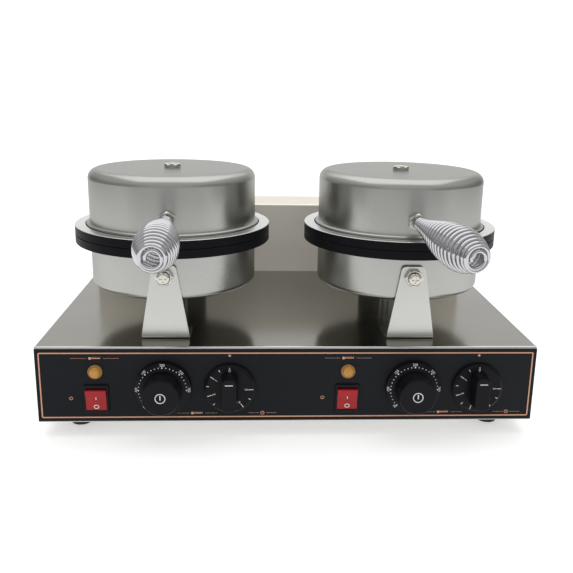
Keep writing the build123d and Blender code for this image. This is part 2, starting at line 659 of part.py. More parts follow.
def cover(side):
    """The deep-drawn lid cover with a small turned-out flange."""
    outside = fillet(post(COVER_RADIUS, PLATE_TOP, COVER_TOP).edges().group_by(Axis.Z)[-1], COVER_CORNER)
    outside += post(COVER_FLANGE_RADIUS, PLATE_TOP, PLATE_TOP + DRAWN_SHEET)
    flange_top = PLATE_TOP + DRAWN_SHEET
    root = outside.edges().filter_by(GeomType.CIRCLE).filter_by(
        lambda e: abs(e.center().Z - flange_top) < 0.01 and abs(e.radius - COVER_RADIUS) < 0.01)
    outside = fillet(root, 3.0)
    cavity = post(COVER_RADIUS - DRAWN_SHEET, PLATE_TOP - 1, COVER_TOP - DRAWN_SHEET)
    shell = outside - fillet(cavity.edges().group_by(Axis.Z)[-1], COVER_CORNER - DRAWN_SHEET)
    shell -= post(STUD_RADIUS + STUD_CLEARANCE, COVER_TOP - 3, COVER_TOP + 1)
    wall = (COVER_RADIUS - 6, COVER_RADIUS + 6)
    shell -= seat(side) * post(STUD_RADIUS + STUD_CLEARANCE, *wall)
    return shell - Pos(0, 0, GROMMET_Z) * FACING_BACK * post(GROMMET_HOLE_RADIUS, *wall)


def upper_element():
    return element(PLATE_TOP + ELEMENT_WIRE_RADIUS + 0.2, COVER_TOP - TERMINAL_END_GAP)


def upper_insulation():
    return insulation(PLATE_TOP + INSULATION_PLATE_GAP, COVER_TOP - INSULATION_FLOOR_GAP)


def handle_bend():
    """Distance from the head's axis at which the stud bends into the coil's direction."""
    return COVER_RADIUS + HANDLE_NUT_HEIGHT + 0.9


def coil_place(side):
    """The coil's own frame: Z runs along the coil from the bend in the stud."""
    start = bearing(HANDLE_SEAT_ANGLE[side]) * handle_bend() + Vector(0, 0, HANDLE_Z)
    direction = bearing(HANDLE_BEARING[side], HANDLE_DROOP)
    return Plane(origin=start, x_dir=(1, 0, 0), z_dir=direction).location


def lid_studs(side):
    """The upright stud that holds the cover down, and the bent stud that carries the handle."""
    top = COVER_TOP + LID_WASHER_THICKNESS + LID_NUT_HEIGHT
    upright = post(STUD_RADIUS, PLATE_TOP - STUD_HOLE_DEPTH + STUD_END_GAP, top + 0.4)
    threaded = seat(side) * post(STUD_RADIUS, COVER_RADIUS - DRAWN_SHEET - 10.5, handle_bend())
    pin = coil_place(side) * (post(HANDLE_PIN_RADIUS, 0, HANDLE_PIN_LENGTH) + Sphere(HANDLE_PIN_RADIUS))
    return [upright, threaded + pin]


def lid_nuts(side):
    """The nut and washer on the cover, and the two nuts that clamp the handle's stud to its wall."""
    washer_top = COVER_TOP + LID_WASHER_THICKNESS
    washer = ring(LID_WASHER_RADIUS, STUD_RADIUS + STUD_CLEARANCE, COVER_TOP, washer_top)
    bore = STUD_RADIUS + RUNNING_GAP
    top_nut = hex_nut(LID_NUT_FLATS, washer_top, LID_NUT_HEIGHT, bore)
    outer = seat(side) * hex_nut(NUT_FLATS, COVER_RADIUS, HANDLE_NUT_HEIGHT, bore)
    inner_top = COVER_RADIUS - DRAWN_SHEET - 0.7
    inner = seat(side) * hex_nut(NUT_FLATS, inner_top - HANDLE_NUT_HEIGHT, HANDLE_NUT_HEIGHT, bore)
    return [washer, top_nut, outer, inner]


def coil_radius(along):
    """Outer radius of the coil at a fraction of its length."""
    if along <= COIL_LARGEST_AT:
        swell = math.sin(math.pi / 2 * along / COIL_LARGEST_AT) ** 1.6
        return COIL_START_RADIUS + (COIL_LARGEST_RADIUS - COIL_START_RADIUS) * swell
    closing = (along - COIL_LARGEST_AT) / (1 - COIL_LARGEST_AT)
    narrowing = 1 - math.cos(math.pi / 2 * closing)
    return COIL_LARGEST_RADIUS - (COIL_LARGEST_RADIUS - COIL_END_RADIUS) * narrowing


def coil_turns():
    """Where each turn's wire lies along the coil: close together by the nut, more open in the bulb."""
    places = [COIL_WIRE / 2]
    while places[-1] < COIL_LENGTH - COIL_WIRE / 2 - COIL_CLOSE_PITCH:
        openness = math.sin(math.pi * min(1.0, places[-1] / COIL_LENGTH * 1.1)) ** 0.8
        places.append(places[-1] + COIL_CLOSE_PITCH + (COIL_OPEN_PITCH - COIL_CLOSE_PITCH) * openness)
    stretch = (COIL_LENGTH - COIL_WIRE) / (places[-1] - places[0])
    return [places[0] + (place - places[0]) * stretch for place in places]


def handle(side):
    """The coil as a ribbed hollow barrel: one rib for each turn of its wire."""
    turns = coil_turns()
    crests = [(coil_radius(place / COIL_LENGTH), place) for place in turns]
    rib_depth = COIL_WIRE / 2 - 0.5
    valleys = [((a[0] + b[0]) / 2 - rib_depth, (a[1] + b[1]) / 2) for a, b in zip(crests, crests[1:])]
    start = (crests[0][0] - COIL_WIRE / 2, 0)
    end = (crests[-1][0] - COIL_WIRE / 2, COIL_LENGTH)
    knots = [start] + valleys + [end]
    ribs = [ThreePointArc(a, crest, b) for a, crest, b in zip(knots, crests, knots[1:])]
    bore = [(r - COIL_WIRE, z) for r, z in reversed(crests)]
    inside = Polyline([end, (bore[0][0], COIL_LENGTH)] + bore[1:-1] + [(bore[-1][0], 0), start])
    outline = [edge for line in ribs + [inside] for edge in line.edges()]
    section = Plane.XZ * make_face(outline)
    barrel = Pos(0, 0, COIL_START_GAP) * revolve(section, Axis.Z)
    return coil_place(side) * barrel


def grommet():
    """A rubber grommet for the element's leads, its outer face towards +Z."""
    inner_face = -1.7
    body = post(GROMMET_RADIUS, 0.05, 2.2) + post(GROMMET_RADIUS, inner_face - 2, inner_face)
    body += post(GROMMET_HOLE_RADIUS - 0.1, inner_face - 2, 0.1)
    return body - post(4.0, -10, 10)


def cover_grommet():
    return Pos(0, COVER_RADIUS, GROMMET_Z) * FACING_BACK * grommet()


def lead_grommets():
    return [lead_grommet_place(side) * grommet() for side in SIDES]


# ---------------------------------------------------------------- controls

def lamp_bezel():
    bezel = fillet(post(LAMP_BEZEL_RADIUS, 0, 3).edges().group_by(Axis.Z)[-1], 1.0)
    bezel += post(LAMP_HOLE_RADIUS - 0.3, -18, 0)
    return bezel - post(LAMP_LENS_RADIUS + 0.1, 0.8, 4)


def lamp_lens():
    lens = post(LAMP_LENS_RADIUS, 0.8, 5.8)
    return fillet(lens.edges().group_by(Axis.Z)[-1], 3.4)


def lamp_bezels():
    return [on_panel(LAMP_AT, side) * lamp_bezel() for side in SIDES]


def lamp_lenses():
    return [on_panel(LAMP_AT, side) * lamp_lens() for side in SIDES]


def centred_block(size, bottom, top):
    return block((-size[0] / 2, -size[1] / 2, bottom), (size[0] / 2, size[1] / 2, top))


def switch_frame():
    """The switch's bezel, its body behind the panel and three terminals."""
    bezel = centred_block(SWITCH_BEZEL, 0, SWITCH_BEZEL[2])
    bezel = fillet(bezel.edges().filter_by(Axis.Z) + bezel.edges().group_by(Axis.Z)[-1], 1.2)
    frame = bezel + centred_block(SWITCH_BODY, -SWITCH_BODY[2], 0)
    frame -= centred_block(SWITCH_WINDOW, -SWITCH_WINDOW[2], SWITCH_BEZEL[2] + 1)
    frame -= Pos(-20, 0, -ROCKER_PIVOT_DEPTH) * ALONG_X * post(ROCKER_PIN_RADIUS + RUNNING_GAP, 0, 40)
    for y in (-8.0, 0.0, 8.0):
        frame += block((-3, y - 0.4, -SWITCH_BODY[2] - 8), (3, y + 0.4, -SWITCH_BODY[2]))
    return frame


def rocker():
    """The rocker with two pivot pins, tipped so that its upper end stands out."""
    tip = 4.2
    outline = Polyline((ROCKER_HALF_HEIGHT, tip), (0, 3.0), (-ROCKER_HALF_HEIGHT, tip), (-10.2, -4.0),
                       (0, -7.5), (10.2, -4.0), close=True)
    section = make_face(Plane.YZ * outline)
    body = Pos(-ROCKER_WIDTH / 2, 0, 0) * extrude(section, ROCKER_WIDTH, dir=(1, 0, 0))
    body = fillet(body.edges().filter_by(lambda e: e.center().Z > tip - 0.3), 0.6)
    body += Pos(-11.4, 0, -ROCKER_PIVOT_DEPTH) * ALONG_X * post(ROCKER_PIN_RADIUS, 0, 22.8)
    pivot = Pos(0, 0, -ROCKER_PIVOT_DEPTH)
    return pivot * Rot(ROCKER_TILT, 0, 0) * pivot.inverse() * body


def dial():
    """The temperature knob: a wide marked skirt and a round grip."""
    skirt_top = KNOB_CLEARANCE + DIAL_SKIRT_THICKNESS
    knob = post(DIAL_RADIUS, KNOB_CLEARANCE, skirt_top)
    knob += cone(DIAL_RADIUS, DIAL_GRIP_RADIUS + 1.5, skirt_top, skirt_top + DIAL_CONE_RISE)
    grip = cone(DIAL_GRIP_RADIUS, DIAL_GRIP_RADIUS - 1.2, skirt_top, DIAL_REACH)
    knob += fillet(grip.edges().group_by(Axis.Z)[-1], 1.6)
    hollow = (KNOB_CLEARANCE - 1, DIAL_REACH - SHAFT_END_GAP)
    return knob - ring(DIAL_GRIP_RADIUS - 4, 7.0, *hollow) - post(SHAFT_RADIUS + RUNNING_GAP, *hollow)


def timer_knob():
    """The timer knob: a round skirt crossed by an upright bar grip."""
    skirt_top = KNOB_CLEARANCE + TIMER_SKIRT_THICKNESS
    knob = post(TIMER_RADIUS, KNOB_CLEARANCE, skirt_top)
    knob += cone(TIMER_RADIUS, TIMER_RADIUS - 3.0, skirt_top, skirt_top + 1.8)
    outline = RectangleRounded(TIMER_GRIP_WIDTH, TIMER_GRIP_LENGTH, TIMER_GRIP_CORNER)
    grip = extrude(outline, TIMER_REACH, taper=4)
    grip = fillet(grip.edges().group_by(Axis.Z)[-1], 1.0)
    knob += grip - post(TIMER_RADIUS, -1, KNOB_CLEARANCE)
    return knob - post(SHAFT_RADIUS + RUNNING_GAP, KNOB_CLEARANCE - 1, TIMER_REACH - SHAFT_END_GAP)


def shaft(reach):
    """A control's shaft, from inside its body to the end of the bore in its knob."""
    return post(SHAFT_RADIUS, -14, reach - SHAFT_END_GAP - 0.5)


def bushed_body(body):
    """A control's body behind the panel, with the bush that its shaft turns in."""
    return body + post(BUSH_RADIUS, -10, 0.6) - post(SHAFT_RADIUS + RUNNING_GAP, -16, 1)


def thermostats():
    body = centred_block(THERMOSTAT_BODY, CONTROL_BODY_FACE - THERMOSTAT_BODY[2], CONTROL_BODY_FACE)
    return [on_panel(DIAL_AT, side) * bushed_body(body) for side in SIDES]


def timers():
    body = post(TIMER_BODY_RADIUS, CONTROL_BODY_FACE - TIMER_BODY_DEPTH, CONTROL_BODY_FACE)
    return [on_panel(TIMER_AT, side) * bushed_body(body) for side in SIDES]


# ---------------------------------------------------------------- assembly

def shared_pieces():
    return {
        "base_casing": base_casing(), "control_panel": control_panel(), "bottom_cover": bottom_cover(),
        "casing_screws": casing_screws(), "rubber_feet": rubber_feet(), "foot_screws": foot_screws(),
        "rear_box": rear_box(), "rear_panel": rear_panel(), "mains_gland": mains_gland(),
        "terminal_block": terminal_block(), "front_brackets": front_brackets(),
        "rear_brackets": rear_brackets(), "bracket_screws": bracket_screws(), "bracket_nuts": bracket_nuts(),
        "bracket_base_screws": bracket_base_screws(), "hinge_pins": hinge_pins(),
        "lower_elements": lower_elements(), "lower_insulation": lower_insulation(),
        "sensor_bulbs": sensor_bulbs(), "lower_studs": lower_studs(), "lower_stud_nuts": lower_stud_nuts(),
        "lead_tubes": lead_tubes(), "lead_grommets": lead_grommets(), "lamp_bezels": lamp_bezels(),
        "lamp_lenses": lamp_lenses(), "thermostats": thermostats(), "timers": timers(),
    }


def head_pieces(side):
    place = head(side)
    return {
        "lower_pan": place * lower_pan(), "lower_plate": place * lower_plate(),
        "upper_plate": place * upper_plate(), "cover": place * cover(side),
        "upper_element": place * upper_element(), "upper_insulation": place * upper_insulation(),
        "lid_studs": [place * piece for piece in lid_studs(side)],
        "lid_nuts": [place * piece for piece in lid_nuts(side)],
        "handle": place * handle(side), "cover_grommet": place * cover_grommet(),
    }


def control_pieces(side):
    return {
        "switch_frame": on_panel(SWITCH_AT, side) * switch_frame(),
        "rocker": on_panel(SWITCH_AT, side) * rocker(),
        "dial": on_panel(DIAL_AT, side) * dial(),
        "dial_shaft": on_panel(DIAL_AT, side) * shaft(DIAL_REACH),
        "timer_knob": on_panel(TIMER_AT, side) * timer_knob(),
        "timer_shaft": on_panel(TIMER_AT, side) * shaft(TIMER_REACH),
    }


def all_pieces():
    pieces = shared_pieces()
    for side in SIDES:
        for name, shape in {**head_pieces(side), **control_pieces(side)}.items():
            pieces[f"{side}_{name}"] = shape
    return {name: shape if isinstance(shape, list) else [shape] for name, shape in pieces.items()}


PIECES = all_pieces()
BOXES = [shape.bounding_box() for shapes in PIECES.values() for shape in shapes]
FRONT_REACH = min(box.min.Y for box in BOXES)
BACK_REACH = max(box.max.Y for box in BOXES)
MIDDLE_Y = (FRONT_REACH + BACK_REACH) / 2

os.makedirs("parts", exist_ok=True)
for node, shapes in PIECES.items():
    moved = [Pos(0, -MIDDLE_Y, 0) * shape for shape in shapes]
    export_step(Compound(children=moved), f"parts/{node}.step")
print("nodes", len(PIECES), "panel face at Y", round(-MIDDLE_Y, 4))
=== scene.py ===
"""Looks of the double-head waffle cone maker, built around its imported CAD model."""

import math

import bmesh
import bpy
from mathutils import Matrix, Vector


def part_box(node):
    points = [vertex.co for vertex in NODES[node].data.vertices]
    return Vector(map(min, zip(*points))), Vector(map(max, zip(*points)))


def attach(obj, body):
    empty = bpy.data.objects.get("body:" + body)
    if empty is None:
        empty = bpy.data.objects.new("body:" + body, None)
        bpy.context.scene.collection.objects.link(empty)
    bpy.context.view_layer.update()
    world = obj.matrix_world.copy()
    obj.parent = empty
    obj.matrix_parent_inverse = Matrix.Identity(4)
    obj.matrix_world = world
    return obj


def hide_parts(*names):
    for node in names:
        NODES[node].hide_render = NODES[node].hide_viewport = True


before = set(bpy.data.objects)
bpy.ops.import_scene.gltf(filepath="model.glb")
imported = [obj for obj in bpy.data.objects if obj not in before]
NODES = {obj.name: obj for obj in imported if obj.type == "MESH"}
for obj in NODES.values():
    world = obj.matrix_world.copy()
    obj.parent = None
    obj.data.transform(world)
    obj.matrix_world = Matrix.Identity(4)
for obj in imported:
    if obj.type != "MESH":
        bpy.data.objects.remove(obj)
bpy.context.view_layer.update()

# Lengths are metres; MM turns millimetres into them. Angles are degrees unless a name says otherwise.
MM = 0.001
SIDES = ("left", "right")

PANEL_FACE_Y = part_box("control_panel")[0].y
BASE_LOW, BASE_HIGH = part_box("base_casing")

# Height of printed ink above the surface that carries it, and its depth below
INK = 0.06 * MM
# The height of a font's figures over its size
FIGURE_SHARE = 0.7
# Most of a noise's values lie between these two
NOISE_LOW = 0.3
NOISE_HIGH = 0.7
# How finely the small round marks are drawn
DISC_SIDES = 20
CLOCK_SIDES = 28
RING_SIDES = 32
CORNER_STEPS = 4

# The coil handles: the wire, the swelling of its turns, the flat spiral that ends it,
# then each handle's seat on the cover and its bearing
WIRE_RADIUS = 1.9 * MM
WIRE_SIDES = 14
COIL_STEPS = 40
COIL_LENGTH = 112.4 * MM
COIL_START_RADIUS = 7.2 * MM
COIL_LARGEST_RADIUS = 21.0 * MM
COIL_END_RADIUS = 12.8 * MM
COIL_LARGEST_AT = 0.74
COIL_SWELL_POWER = 1.6
COIL_CLOSE_PITCH = 4.0 * MM
COIL_OPEN_PITCH = 6.8 * MM
COIL_OPEN_POWER = 0.8
COIL_OPEN_REACH = 1.1
COIL_START_GAP = 2.2 * MM
COIL_END_TURNS = 2.3
COIL_END_PITCH = 4.6 * MM
HANDLE_HEIGHT = 127.0 * MM
HANDLE_BEND = 101.7 * MM
HANDLE_DROOP = 5.4
HANDLE_SEAT_ANGLE = {"left": 2.7, "right": 0.3}
HANDLE_BEARING = {"left": 0.4, "right": 14.9}

# The baking faces: raised squares on the floor of each plate's round recess. HALF_PLATES is the height
# from the parting between the two plates up to the foot of the lid's cover.
WAFFLE_PITCH = 7.6 * MM
PAD_FOOT = 6.0 * MM
PAD_TOP = 5.2 * MM
PAD_HEIGHT = 0.75 * MM
PAD_SUNK = 0.05 * MM
PAD_MARGIN = 0.6 * MM
HALF_PLATES = 9.7 * MM
RECESS_RADIUS = 99.0 * MM
RECESS_DEPTH = 1.1 * MM
PARTING_GAP = 0.3 * MM

# The upper plate's bare turned rim, outside the cover's flange, and how far its skin stands off the plate
RIM_INNER = 97.6 * MM
RIM_OUTER = 109.0 * MM
RIM_EDGE = 0.8 * MM
RIM_EDGE_ANGLES = (90, 67, 45, 22)
RIM_SKIN = 0.03 * MM
RIM_SIDES = 160

# The dial: a sloping skirt with figures round it, and a round grip with a ring on its cap
DIAL_RADIUS = 28.75 * MM
DIAL_SKIRT_INNER = 21.5 * MM
DIAL_SKIRT_EDGE = 5.9 * MM
DIAL_SKIRT_RISE = 3.4 * MM
DIAL_FIGURES = ("50", "100", "150", "200", "250", "300")
DIAL_FIRST_ANGLE = 135.0
DIAL_FIGURE_STEP = 45.0
DIAL_FIGURE_RADIUS = 26.9 * MM
DIAL_FIGURE_HEIGHT = 2.5 * MM
DIAL_DOT_RADIUS = 24.6 * MM
DIAL_DOT_LARGE = 0.75 * MM
DIAL_DOT_SMALL = 0.5 * MM
DOT_SIDES = 12
DOTS_PER_FIGURE = 5
CAP_RING_RADIUS = 4.9 * MM
CAP_RING_WIDTH = 0.9 * MM
CAP_RING_SIDES = 48
CAP_INDEX_LOW = -1.6 * MM
CAP_INDEX_HIGH = 3.2 * MM
CAP_INDEX_WIDTH = 1.1 * MM

# The timer: a flat skirt with minutes round it, and a bar grip with one line. The grip reaches over the
# place of the 0, which stands further out than the other figures, with a shorter mark.
TIMER_SKIRT_TOP = 5.7 * MM
TIMER_FIGURES = ("0", "1", "2", "3", "4", "5")
TIMER_MARK_STEP = 27.0
TIMER_MARK_OUTER = 24.2 * MM
TIMER_LONG_MARK = 19.6 * MM
TIMER_SHORT_MARK = 21.6 * MM
TIMER_MARK_WIDTH = 0.7 * MM
TIMER_FIGURE_RADIUS = 17.2 * MM
TIMER_FIGURE_HEIGHT = 3.2 * MM
TIMER_ZERO_RADIUS = 20.6 * MM
TIMER_ZERO_MARK = 22.6 * MM
GRIP_LINE = 8.0 * MM
GRIP_LINE_HEIGHT = 12.0 * MM
GRIP_LINE_WIDTH = 0.9 * MM

# The rocker, by the measures of its dished face
ROCKER_TILT = 8.0
ROCKER_PIVOT_DEPTH = 1.0 * MM
ROCKER_HALF_HEIGHT = 11.6 * MM
ROCKER_VALLEY = 3.0 * MM
ROCKER_DISH = 1.2 * MM
ON_STROKE_LOW = 0.6 * MM
ON_STROKE_HIGH = 3.6 * MM
ON_STROKE_WIDTH = 0.8 * MM
OFF_RING_RADIUS = 1.9 * MM
OFF_RING_STRETCH = 1.25
OFF_RING_DROP = 7.4 * MM
OFF_RING_WIDTH = 0.75 * MM

# Printing on the panel, by height above the casing's lower edge
BORDER_HALF_WIDTH = 255.4 * MM
BORDER_BOTTOM = 5.5 * MM
BORDER_TOP = 76.4 * MM
BORDER_LINE = 1.3 * MM
BORDER_CORNER = 1.2 * MM
TIMER_DOT_RADIUS = 1.3 * MM
TIMER_DOT_HEIGHT = 73.6 * MM
LAMP_SIGN_HEIGHT = 70.9 * MM
SWITCH_SIGN_HEIGHT = 27.0 * MM
LOW_SIGN_HEIGHT = 9.7 * MM
RULE_PITCH = 1.3 * MM
RULE_DOT = 0.32 * MM
RULE_DOT_SIDES = 8
# Where a rule starts and ends beside a sign, and how far some signs stand from their control
THERMOMETER_GAP = 9 * MM
LAMP_RULE_END = 24 * MM
DIAL_RULE_END = 20 * MM
POWER_SIGN_OFFSET = 26 * MM
CLOCK_OFFSET = 34 * MM
CLOCK_GAP = 4 * MM
CLOCK_RULE_END = 14 * MM
# The signs' pens and sizes
BROAD_PEN = 0.9 * MM
PEN = 0.5 * MM
FINE_PEN = 0.4 * MM
THERMOMETER_BULB = 1.5 * MM
THERMOMETER_TICKS = 5
THERMOMETER_TICK_PITCH = 1.9 * MM
CLOCK_RADIUS = 1.8 * MM
POWER_RADIUS = 1.7 * MM
POWER_ANGLES = (125, 416, 15)

# Floor: its two opposite corners, its paint and how much light it gives off by itself
FLOOR_LOW = (-2.0, -1.1)
FLOOR_HIGH = (2.0, 2.2)
FLOOR_PAINT = 0.90
FLOOR_GLOW = 0.42

# How bright the studio is near the horizon in front and behind, at both sides and overhead, and the
# parts of a direction between which one brightness turns into the next
WORLD_FRONT = 0.52
WORLD_REAR = 1.25
WORLD_BESIDE = 0.30
WORLD_ABOVE = 0.62
FRONT_TO_REAR = (-0.5, 0.6)
MIDDLE_TO_SIDE = (0.45, 0.75)
HORIZON_TO_ABOVE = (0.12, 0.40)

# Softboxes: name, place, the point each one faces, its size and its power in watts
SOFTBOXES = (
    ("overhead", (0.0, 0.1, 1.7), (0.0, 0.1, 0.0), (2.6, 2.2), 17),
    ("behind", (0.0, 1.9, 1.6), (0.0, 1.6, 0.0), (3.2, 1.4), 9),
)

# The camera: millimetres of lens, shift of the frame, place, and turns in radians
CAMERA_LENS = 44.82
CAMERA_SENSOR = 36.0
CAMERA_SHIFT = (-0.0100, -0.0443)
CAMERA_X = -0.0339
CAMERA_BEFORE_PANEL = 0.6890
CAMERA_Z = 0.3656
CAMERA_BEARING = -0.0506
CAMERA_DOWN = 0.2463
CAMERA_ROLL = 0.0174


# ---------------------------------------------------------------- materials

class Finish:
    """One procedural material: a Principled shader and the noise that varies it."""

    def __init__(self, name, colour, metallic=0.0, roughness=0.5):
        self.material = bpy.data.materials.new(name)
        self.material.use_nodes = True
        self.tree = self.material.node_tree
        self.shader = self.tree.nodes["Principled BSDF"]
        self.set("Base Color", (*colour, 1.0))
        self.set("Metallic", metallic)
        self.set("Roughness", roughness)
        self.coordinates = self.node("ShaderNodeTexCoord").outputs["Object"]

    def node(self, kind):
        """A new node of a kind in this material."""
        return self.tree.nodes.new(kind)

    def link(self, source, target):
        """Joins an output to an input."""
        self.tree.links.new(source, target)

    def set(self, socket, value):
        """Gives one of the shader's sockets a value that is the same all over."""
        self.shader.inputs[socket].default_value = value

    def grain(self, per_metre, detail=3.0, distortion=0.0):
        """Noise with a given number of grains per metre along X, Y and Z."""
        mapping = self.node("ShaderNodeMapping")
        mapping.inputs["Scale"].default_value = per_metre
        self.link(self.coordinates, mapping.inputs["Vector"])
        noise = self.node("ShaderNodeTexNoise")
        noise.inputs["Scale"].default_value = 1.0
        noise.inputs["Detail"].default_value = detail
        noise.inputs["Distortion"].default_value = distortion
        self.link(mapping.outputs["Vector"], noise.inputs["Vector"])
        return noise.outputs["Fac"]

    def roughen(self, source, smoothest, roughest):
        """Varies the roughness with a noise."""
        span = self.node("ShaderNodeMapRange")
        span.inputs["From Min"].default_value = NOISE_LOW
        span.inputs["From Max"].default_value = NOISE_HIGH
        span.inputs["To Min"].default_value = smoothest
        span.inputs["To Max"].default_value = roughest
        self.link(source, span.inputs["Value"])
        self.link(span.outputs["Result"], self.shader.inputs["Roughness"])

    def tint(self, source, *stops):
        """Colours the surface along a ramp of (position, colour) stops."""
        ramp = self.node("ShaderNodeValToRGB")
        elements = ramp.color_ramp.elements
        while len(elements) < len(stops):
            elements.new(0.5)
        for element, (position, colour) in zip(elements, stops):
            element.position = position
            element.color = (*colour, 1.0)
        self.link(source, ramp.inputs["Fac"])
        self.link(ramp.outputs["Color"], self.shader.inputs["Base Color"])

    def bump(self, source, depth, strength):
        """Raises the surface by the source."""
        bump = self.node("ShaderNodeBump")
        bump.inputs["Distance"].default_value = depth
        bump.inputs["Strength"].default_value = strength
        self.link(source, bump.inputs["Height"])
        self.link(bump.outputs["Normal"], self.shader.inputs["Normal"])


# How a steel's reflection is toned down at grazing angles
STEEL_EDGE_TINT = (0.62, 0.62, 0.61, 1.0)


def brushed_steel(name, per_metre, colour, smoothest, roughest, metallic=1.0):
    """Stainless sheet with its grain drawn out along one direction."""
    finish = Finish(name, colour, metallic=metallic)
    finish.set("Specular Tint", STEEL_EDGE_TINT)
    lines = finish.grain(per_metre, detail=4.0)
    clouds = finish.grain((9, 9, 9), detail=2.0)
    finish.tint(clouds, (0.25, scaled(colour, 0.96)), (0.75, scaled(colour, 1.04)))
    finish.roughen(lines, smoothest, roughest)
    finish.bump(lines, 0.01 * MM, 0.15)
    return finish.material


def scaled(colour, factor):
    """A colour made lighter or darker."""
    return tuple(min(1.0, channel * factor) for channel in colour)


def satin_steel():
    """Deep-drawn stainless with a fine matt finish and faint handling clouds."""
    finish = Finish("drawn_steel", (0.41, 0.41, 0.39), metallic=1.0)
    finish.set("Specular Tint", STEEL_EDGE_TINT)
    fine = finish.grain((1400, 1400, 1400), detail=2.0)
    clouds = finish.grain((14, 14, 26), detail=3.0)
    finish.tint(clouds, (0.25, (0.405, 0.405, 0.385)), (0.75, (0.435, 0.435, 0.415)))
    finish.roughen(clouds, 0.27, 0.30)
    finish.bump(fine, 0.01 * MM, 0.04)
    return finish.material


def cast_plate():
    """Black non-stick coating on cast aluminium."""
    finish = Finish("cast_black", (0.008, 0.008, 0.010))
    finish.set("Specular IOR Level", 0.05)
    pores = finish.grain((900, 900, 900), detail=4.0)
    finish.tint(pores, (0.3, (0.006, 0.006, 0.008)), (0.8, (0.011, 0.011, 0.013)))
    finish.roughen(pores, 0.36, 0.5)
    finish.bump(pores, 0.04 * MM, 0.25)
    return finish.material


def turned_aluminium():
    """Bare machined aluminium with fine turning marks."""
    finish = Finish("turned_aluminium", (0.66, 0.66, 0.65), metallic=1.0)
    marks = finish.grain((700, 700, 60), detail=3.0)
    finish.roughen(marks, 0.28, 0.42)
    finish.bump(marks, 0.02 * MM, 0.3)
    return finish.material


def panel_paint():
    """Satin black paint with a barely visible orange peel."""
    finish = Finish("panel_black", (0.012, 0.013, 0.016))
    finish.set("Specular IOR Level", 0.08)
    peel = finish.grain((260, 260, 260), detail=2.0)
    clouds = finish.grain((6, 6, 6), detail=2.0)
    finish.tint(clouds, (0.3, (0.011, 0.012, 0.015)), (0.7, (0.014, 0.015, 0.018)))
    finish.roughen(peel, 0.33, 0.43)
    finish.bump(peel, 0.02 * MM, 0.35)
    return finish.material


def moulded(name, colour, smoothest, roughest, grain_depth=0.02 * MM, specular=0.5):
    """Moulded plastic or rubber: an even colour, a spark-eroded grain and slightly uneven gloss."""
    finish = Finish(name, colour)
    finish.set("Specular IOR Level", specular)
    grain = finish.grain((1100, 1100, 1100), detail=3.0)
    patches = finish.grain((45, 45, 45), detail=2.0)
    finish.tint(patches, (0.3, scaled(colour, 0.86)), (0.7, scaled(colour, 1.12)))
    finish.roughen(patches, smoothest, roughest)
    finish.bump(grain, grain_depth, 0.3)
    return finish.material


def plated(name, colour, smoothest, roughest):
    """Plated or bare bright metal with light handling marks."""
    finish = Finish(name, colour, metallic=1.0)
    marks = finish.grain((350, 350, 350), detail=4.0)
    finish.roughen(marks, smoothest, roughest)
    finish.bump(marks, 0.01 * MM, 0.25)
    return finish.material


def ceramic_fibre():
    """Soft white insulation board with matted fibres."""
    finish = Finish("ceramic_fibre", (0.80, 0.78, 0.72), roughness=0.95)
    fibres = finish.grain((320, 320, 900), detail=6.0, distortion=1.2)
    finish.tint(fibres, (0.3, (0.66, 0.63, 0.56)), (0.7, (0.84, 0.82, 0.77)))
    finish.bump(fibres, 0.4 * MM, 0.6)
    return finish.material


def lens_plastic():
    """Amber pilot-lamp lens: clear coat over a grainy, slightly glowing amber."""
    finish = Finish("lens_amber", (0.52, 0.25, 0.03), roughness=0.22)
    grain = finish.grain((500, 500, 500), detail=2.0)
    finish.tint(grain, (0.3, (0.42, 0.18, 0.015)), (0.7, (0.58, 0.29, 0.035)))
    finish.bump(grain, 0.02 * MM, 0.4)
    finish.set("Subsurface Weight", 0.2)
    finish.set("Subsurface Scale", 0.002)
    finish.set("Coat Weight", 0.15)
    return finish.material


def ink(name, colour):
    """Screen-printed ink, a little patchy."""
    finish = Finish(name, colour, roughness=0.5)
    patches = finish.grain((800, 800, 800), detail=2.0)
    finish.tint(patches, (0.3, scaled(colour, 0.85)), (0.7, colour))
    return finish.material


